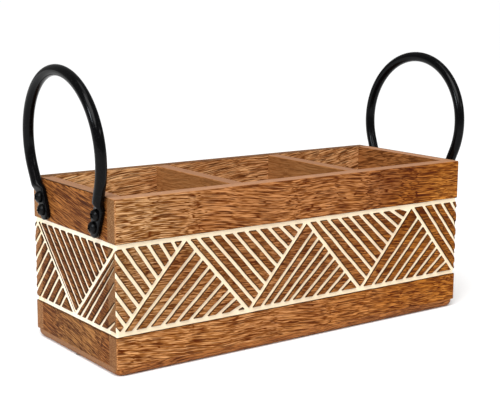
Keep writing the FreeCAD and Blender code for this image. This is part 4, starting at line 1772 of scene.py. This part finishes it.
class ScrewSet:
    """Screws of one kind that share a node."""

    SEGMENTS = 48
    RING_SHARES = (1.0, 0.92, 0.82, 0.7)
    LIP_SHARE = 0.25
    POINT_SHARE = 0.15
    SHARP = 35.0

    def __init__(self, sizes: ScrewSizes) -> None:
        """Keep the sizes and find the ball of the dome.

        Args:
            sizes: Sizes of the screws.
        """
        self.sizes = sizes
        self.rise = sizes.crown - sizes.side
        half = sizes.head / 2
        self.ball = (half ** 2 + self.rise ** 2) / (2 * self.rise) if self.rise > 0 else 0.0

    def _dome(self, radius: float) -> float:
        """Height of the head's top.

        Args:
            radius: Distance from the axis.

        Returns:
            Height over the seat.
        """
        if not self.ball:
            return 0.0
        return self.sizes.crown - self.ball + math.sqrt(self.ball ** 2 - radius ** 2)

    def _cross(self, shrink: float) -> list[Point]:
        """Draw the cross recess.

        Args:
            shrink: How far the outline is drawn in.

        Returns:
            Points of the outline.
        """
        reach = self.sizes.recess_span / 2 - shrink
        arm = self.sizes.recess_arm / 2 - shrink / 2
        outline = []
        for turn in range(4):
            for x, y in ((reach, -arm), (reach, arm), (arm, arm)):
                for _ in range(turn):
                    x, y = -y, x
                outline.append((x, y))
        return outline

    def _circle(self, radius: float) -> list[Point]:
        """Points of a circle."""
        angles = [2 * math.pi * i / self.SEGMENTS for i in range(self.SEGMENTS)]
        return [(radius * math.cos(a), radius * math.sin(a)) for a in angles]

    def _segment(self, point: Vector) -> int:
        """Number of the circle's point that lies in the direction of a point."""
        return round(math.atan2(point.y, point.x) * self.SEGMENTS / (2 * math.pi)) % self.SEGMENTS

    def _profile(self) -> list[Point]:
        """Find the rings from under the top's rim to the point.

        Returns:
            Radius and height of each ring.
        """
        sizes = self.sizes
        half, shank = sizes.head / 2, sizes.shank / 2
        head = [(half, sizes.side - sizes.easing), (half, sizes.easing), (half - sizes.easing, 0.0)]
        if sizes.sink:
            head = [(half, -sizes.easing)]
        tip = (self.POINT_SHARE * shank, -sizes.length)
        return head + [(shank, -sizes.sink), (shank, sizes.tip - sizes.length), tip]

    def _add_top(self, bm: Mesh, place: Matrix) -> list[Vert]:
        """Add the top of the head with its cross recess.

        Args:
            bm: Mesh of the set.
            place: Where the screw's seat lies.

        Returns:
            Points of the top's rim.
        """
        sizes = self.sizes
        rim = sizes.head / 2 - sizes.easing
        drawing = Drawing()
        for share in self.RING_SHARES:
            drawing.add_line(self._circle(rim * share), closed=True)
        drawing.add_line(self._cross(0.0), closed=True)
        lip = self.LIP_SHARE * sizes.recess_depth
        drawing.add_line(self._cross(sizes.recess_lip), lip, closed=True)
        drawing.add_line(self._cross(sizes.recess_draft), sizes.recess_depth, closed=True)
        points, depths, faces = drawing.cut()
        verts = []
        for point, depth in zip(points, depths):
            height = self._dome(0.0) - depth if depth else self._dome(min(point.length, sizes.head / 2))
            verts.append(bm.verts.new(place @ Vector((point.x, point.y, height))))
        for corners in faces:
            bm.faces.new([verts[i] for i in corners])
        outer = [i for i, point in enumerate(points) if point.length > rim - 2 * NEAR]
        return [verts[i] for i in sorted(outer, key=lambda i: self._segment(points[i]))]

    def _add(self, bm: Mesh, place: Matrix) -> None:
        """Add one screw, its seat on z = 0 of a place and its head along +Z.

        Args:
            bm: Mesh of the set.
            place: Where the screw's seat lies.
        """
        ring = self._add_top(bm, place)
        for radius, height in self._profile():
            after = [bm.verts.new(place @ Vector((x, y, height))) for x, y in self._circle(radius)]
            join_rings(bm, ring, after)
            ring = after
        bm.faces.new(ring)

    def build(self, name: str, places: Iterable[Matrix], material: Material) -> Piece:
        """Make all screws of the set as one piece of separate closed solids.

        Args:
            name: Name of the piece.
            places: Where each screw's seat lies.
            material: Finish of the screws.

        Returns:
            The piece.
        """
        bm = bmesh.new()
        for place in places:
            self._add(bm, place)
        return finish_piece(bm, name, material, self.SHARP)


def upright_axes(node: Piece, reach: float) -> list[Point]:
    """Axes of the separate upright screws of a node, seen from above.

    Args:
        node: Node of several screws.
        reach: Distance within which points belong to one screw.

    Returns:
        Level place of each axis.
    """
    groups: list[list[Vector]] = []
    for vert in node.data.vertices:
        where = (node.matrix_world @ vert.co).xy
        for group in groups:
            if (group[0] - where).length < reach:
                group.append(where)
                break
        else:
            groups.append([where])
    return [
        tuple((min(p[axis] for p in group) + max(p[axis] for p in group)) / 2 for axis in (0, 1))
        for group in groups
    ]


# The whole caddy

PALE = (1.2, 1.56, 2.05, 1.0)
AMBER = (1.06, 0.95, 0.42, 1.0)
HEART = (0.62, 0.52, 0.5, 1.0)
# Paler tint: a pale patch of wood on the front, painted light on the back's inside
PALER_TONE_AND_PAINTED_LIGHT = (1.3, 1.48, 1.62, 1.0)
ASHEN = (1.07, 1.3, 1.6, 1.0)
LEFT_TONES = (0.045, 0.012, 0.0025, 1.0), (0.17, 0.053, 0.0115, 1.0), (0.36, 0.137, 0.034, 1.0)
RIGHT_TONES = (0.13, 0.04, 0.01, 1.0), (0.3, 0.105, 0.027, 1.0), (0.47, 0.19, 0.06, 1.0)


@dataclass
class Caddy:
    """Box, handles and screws of the cutlery caddy."""

    box: BoxSizes
    effects: SharedEffects
    carving: Carving = field(default_factory=Carving)
    handle_sizes: HandleSizes = field(default_factory=HandleSizes)
    base_sink: float = 0.4 * MM
    end_easing: float = 0.25 * MM
    # Turns of the screws' recesses in degrees: of the first and from each to the next
    pan_spin: Point = (23.0, 37.0)
    base_spin: Point = (0.0, 31.0)

    @property
    def band(self) -> Point:
        """Heights of the carved band's lower and upper border."""
        return self.carving.lower_margin, self.box.height - self.carving.upper_margin

    def build_walls(self) -> None:
        """Carve the four walls and put them in place of their plain solids."""
        box = self.box
        long_face = CarvedFace(LONG_BAND, self.carving, box.length, box.height)
        end_face = CarvedFace(END_BAND, self.carving, box.width, box.height)
        long_walls = ("front_panel", self._front_wood(), 0), ("back_panel", self._back_wood(), 2)
        for name, finish, quarters in long_walls:
            board = CarvedBoard(
                f"{name}_carved", box.length, box.wall, box.floor, box.height, long_face,
                right_side=end_face, left_side=end_face, side_start=box.width / 2, seed=3.0 * quarters,
            )
            place = turned(quarters) @ Matrix.Translation((0.0, -box.width / 2, 0.0))
            self._stand_for(board.build(place, finish.material(self.effects)), name)
        end_walls = ("left_end_panel", -1, LEFT_TONES), ("right_end_panel", 1, RIGHT_TONES)
        for name, side, tones in end_walls:
            finish = self._end_wood(f"{name}_wood", side, tones)
            board = CarvedBoard(
                f"{name}_carved", box.width - 2 * box.wall, box.wall, box.floor, box.height, end_face,
                corner_easing=self.end_easing, seed=5.0 + side,
            )
            place = turned(side) @ Matrix.Translation((0.0, -box.length / 2, 0.0))
            self._stand_for(board.build(place, finish.material(self.effects)), name)

    def _front_wood(self) -> WoodFinish:
        """Finish the front with its pale, amber and dark patches.

        Returns:
            The finish.
        """
        patches = (
            (-0.165, 0.105, 0.09, PALE, 1.0),
            (-0.1, 0.0, 0.11, PALER_TONE_AND_PAINTED_LIGHT, 1.0),
            (0.155, 0.06, 0.13, AMBER, 0.95),
            (0.07, 0.0, 0.11, AMBER, 0.4),
            (0.087, 0.104, 0.048, HEART, 0.8),
            (0.1, 0.01, 0.05, HEART, 0.3),
        )
        stains = tuple(
            Stain((level, -self.box.width / 2, height), reach, tint, strength)
            for level, height, reach, tint, strength in patches
        )
        return WoodFinish("front_wood", stains=stains, band=self.band, slant=math.radians(-4.0))

    def _back_wood(self) -> WoodFinish:
        """Finish the back with paler wood and a pale inside patch, both painted light, and a dark rim of
        painted shade.

        Returns:
            The finish.
        """
        inside = self.box.width / 2 - self.box.wall
        return WoodFinish(
            "back_wood",
            # Paler tones than the other boards: painted light for the shaded inside
            dark=(0.18, 0.053, 0.011, 1.0),
            middle=(0.54, 0.222, 0.073, 1.0),
            light=(0.84, 0.45, 0.2, 1.0),
            # Near-black top: painted shade along the back rim's edge
            rim=(0.07, 0.03, 0.015, 1.0),
            offset=0.37,
            slant=math.radians(7.0),
            # Pale patch inside the left compartment: painted light
            stains=(Stain((-0.1, inside, 0.1), 0.07, PALER_TONE_AND_PAINTED_LIGHT, 0.7),),
        )

    def _end_wood(self, name: str, side: int, tones: Sequence[Colour]) -> WoodFinish:
        """Finish an end wall.

        Args:
            name: Name of the finish.
            side: -1 for the left end, 1 for the right end.
            tones: Its dark, middle and light tone.

        Returns:
            The finish.
        """
        return WoodFinish(
            name,
            *tones,
            # Paint brighter than on the front and back: painted light on the end faces
            paint=(0.98, 0.855, 0.685, 1.0),
            grain=Grain.ACROSS,
            slant=side * math.radians(11.0),
            offset=0.2 * side,
            stains=(Stain((side * self.box.length / 2, 0.0, 0.008), 0.05, ASHEN, 0.9),),
            band=self.band,
        )

    @staticmethod
    def _stand_for(piece: Piece, node: str) -> None:
        """Hide the plain solid of a carved board."""
        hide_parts(node)

    @staticmethod
    def _spin(turns: Point, index: int) -> Matrix:
        """Turn of a screw in its row about its own axis."""
        return Matrix.Rotation(math.radians(turns[0] + turns[1] * index), 4, "Z")

    def build_handles(self) -> None:
        """Forge both handles and drive their screws."""
        handle = Handle(self.box, self.handle_sizes)
        iron = CoatedFinish("black_iron").material(self.effects)
        black = CoatedFinish("black_screw", roughness=0.3, gloss=0.13, grit=0.15)
        screw_black = black.material(self.effects)
        screws = ScrewSet(PAN_SCREW)
        outward = Matrix.Rotation(math.pi / 2, 4, "Y")
        for side, quarters in (("left", 2), ("right", 0)):
            piece = handle.build(f"{side}_handle_forged", quarters, iron)
            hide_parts(f"{side}_handle")
            places = []
            for index, seat in enumerate(handle.screw_seats()):
                spin = self._spin(self.pan_spin, index)
                places.append(turned(quarters) @ Matrix.Translation(seat) @ outward @ spin)
            piece = screws.build(f"{side}_handle_pan_screws", places, screw_black)
            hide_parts(f"{side}_handle_screws")

    def build_base_screws(self) -> None:
        """Drive the flat-head screws that hold the base."""
        places = []
        for index, (x, y) in enumerate(upright_axes(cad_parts["base_screws"], BASE_SCREW.head)):
            over = Matrix.Translation((x, y, self.base_sink)) @ Matrix.Rotation(math.pi, 4, "X")
            places.append(over @ self._spin(self.base_spin, index))
        steel = SteelFinish("plated_steel").material(self.effects)
        piece = ScrewSet(BASE_SCREW).build("base_flat_head_screws", places, steel)
        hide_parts("base_screws")

    def dress_boards(self) -> None:
        """Give the plain boards and the dowels their finishes."""
        tan = WoodFinish(
            "divider_wood",
            dark=(0.22, 0.08, 0.022, 1.0),
            middle=(0.32, 0.127, 0.039, 1.0),
            light=(0.39, 0.17, 0.058, 1.0),
            rim=(0.345, 0.178, 0.102, 1.0),
            grain=Grain.ACROSS,
            fleck_strength=0.25,
            offset=0.61,
        ).material(self.effects)
        base = WoodFinish(
            "base_wood",
            dark=(0.13, 0.04, 0.012, 1.0),
            middle=(0.31, 0.106, 0.028, 1.0),
            light=(0.43, 0.17, 0.046, 1.0),
            end_grain=(0.25, 0.139, 0.072, 1.0),
            offset=0.83,
        )
        beech = WoodFinish(
            "dowel_wood",
            dark=(0.42, 0.26, 0.14, 1.0),
            middle=(0.55, 0.37, 0.21, 1.0),
            light=(0.66, 0.48, 0.3, 1.0),
            grain=Grain.ACROSS,
            fleck_strength=0.2,
        ).material(self.effects)
        finishes = {"base_board": base.material(self.effects)}
        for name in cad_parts:
            if name.endswith("_divider"):
                finishes[name] = tan
            elif name.endswith("_dowels"):
                finishes[name] = beech
        for name, material in finishes.items():
            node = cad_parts[name]
            node.data.materials.clear()
            node.data.materials.append(material)
            LOG.info("%s: dressed with %s", name, material.name)


# Studio

COOL = (0.86, 0.94, 1.0)


class LampKind(Enum):
    """Kinds of light in the studio."""

    SOFTBOX = "AREA"
    SKYLIGHT = "SUN"


@dataclass(frozen=True)
class Lamp:
    """Lamp: where it stands, what it looks at, its width (of a skylight the angle), power and tint."""

    name: str
    kind: LampKind
    place: Triple
    aim: Triple
    width: float
    power: float
    tint: Triple = (1.0, 1.0, 1.0)


@dataclass(frozen=True)
class Studio:
    """White table, soft light and the camera at the photograph's place."""

    table_half: float = 60.0
    table_cells: int = 8
    table_white: Colour = (0.97, 0.97, 0.97, 1.0)
    table_roughness: float = 0.9
    sky: float = 0.34
    aim: Vector = field(default_factory=lambda: Vector((-5.9 * MM, 0.0, 87.9 * MM)))
    distance: float = 840.6 * MM
    azimuth: float = math.radians(-36.06)
    elevation: float = math.radians(10.61)
    roll: float = math.radians(0.37)
    lens: float = 81.6
    sensor: float = 36.0
    nearest: float = 50.0 * MM
    lamps: tuple[Lamp, ...] = (
        Lamp(
            "skylight", LampKind.SKYLIGHT, (-0.68, -0.78, 1.25), (0.0, 0.0, 0.0), math.radians(45.0), 3.1
        ),
        Lamp("front_softbox", LampKind.SOFTBOX, (0.6, -1.3, 0.8), (0.0, 0.0, 0.1), 0.22, 1.5),
        Lamp("left_softbox", LampKind.SOFTBOX, (-1.3, -0.2, 0.7), (0.0, 0.0, 0.1), 0.3, 6.5, COOL),
        Lamp("top_softbox", LampKind.SOFTBOX, (-0.1, -0.1, 1.4), (0.0, 0.0, 0.1), 0.7, 2.4),
    )

    def build(self) -> None:
        """Lay the table, hang the lamps and set the camera."""
        self._table()
        for lamp in self.lamps:
            self._hang(lamp)
        self._camera()
        scene = bpy.context.scene
        scene.view_settings.view_transform = "Standard"
        world = bpy.data.worlds.new("studio_white")
        world.use_nodes = True
        background = world.node_tree.nodes["Background"]
        background.inputs["Color"].default_value = (1.0, 1.0, 1.0, 1.0)
        background.inputs["Strength"].default_value = self.sky
        scene.world = world

    def _table(self) -> None:
        """Lay a wide pale table top under the box."""
        bm = bmesh.new()
        cells = self.table_cells
        bmesh.ops.create_grid(bm, x_segments=cells, y_segments=cells, size=self.table_half)
        mesh = bpy.data.meshes.new("table_top")
        bm.to_mesh(mesh)
        bm.free()
        made, _, shader = new_material("table_white")
        shader["Base Color"].default_value = self.table_white
        shader["Roughness"].default_value = self.table_roughness
        mesh.materials.append(made)
        table = linked("table_top", mesh)

    @staticmethod
    def _hang(lamp: Lamp) -> None:
        """Hang one lamp and point it at its aim.

        Args:
            lamp: The lamp.
        """
        light = bpy.data.lights.new(lamp.name, lamp.kind.value)
        light.energy = lamp.power
        light.color = lamp.tint
        if lamp.kind is LampKind.SKYLIGHT:
            light.angle = lamp.width
        else:
            light.shape = "DISK"
            light.size = lamp.width
        item = linked(lamp.name, light)
        item.location = lamp.place
        way = Vector(lamp.aim) - Vector(lamp.place)
        item.rotation_euler = way.to_track_quat("-Z", "Y").to_euler()

    def _camera(self) -> None:
        """Stand the camera where the photograph was taken from."""
        flat = math.cos(self.elevation)
        back = Vector((
            math.sin(self.azimuth) * flat, -math.cos(self.azimuth) * flat, math.sin(self.elevation)
        ))
        data = bpy.data.cameras.new("photo_camera")
        data.sensor_width = self.sensor
        data.lens = self.lens
        data.clip_start = self.nearest
        camera = linked("photo_camera", data)
        camera.location = self.aim + back * self.distance
        camera.rotation_mode = "QUATERNION"
        tilt = Quaternion((0.0, 0.0, 1.0), self.roll)
        camera.rotation_quaternion = (-back).to_track_quat("-Z", "Y") @ tilt
        bpy.context.scene.camera = camera


def main() -> None:
    logging.basicConfig(level=logging.INFO, format="%(message)s")
    noise.seed_set(GOUGE_SEED)
    caddy = Caddy(BoxSizes.from_frame(), SharedEffects())
    caddy.build_walls()
    caddy.build_handles()
    caddy.build_base_screws()
    caddy.dress_boards()
    Studio().build()


if __name__ == "__main__":
    main()
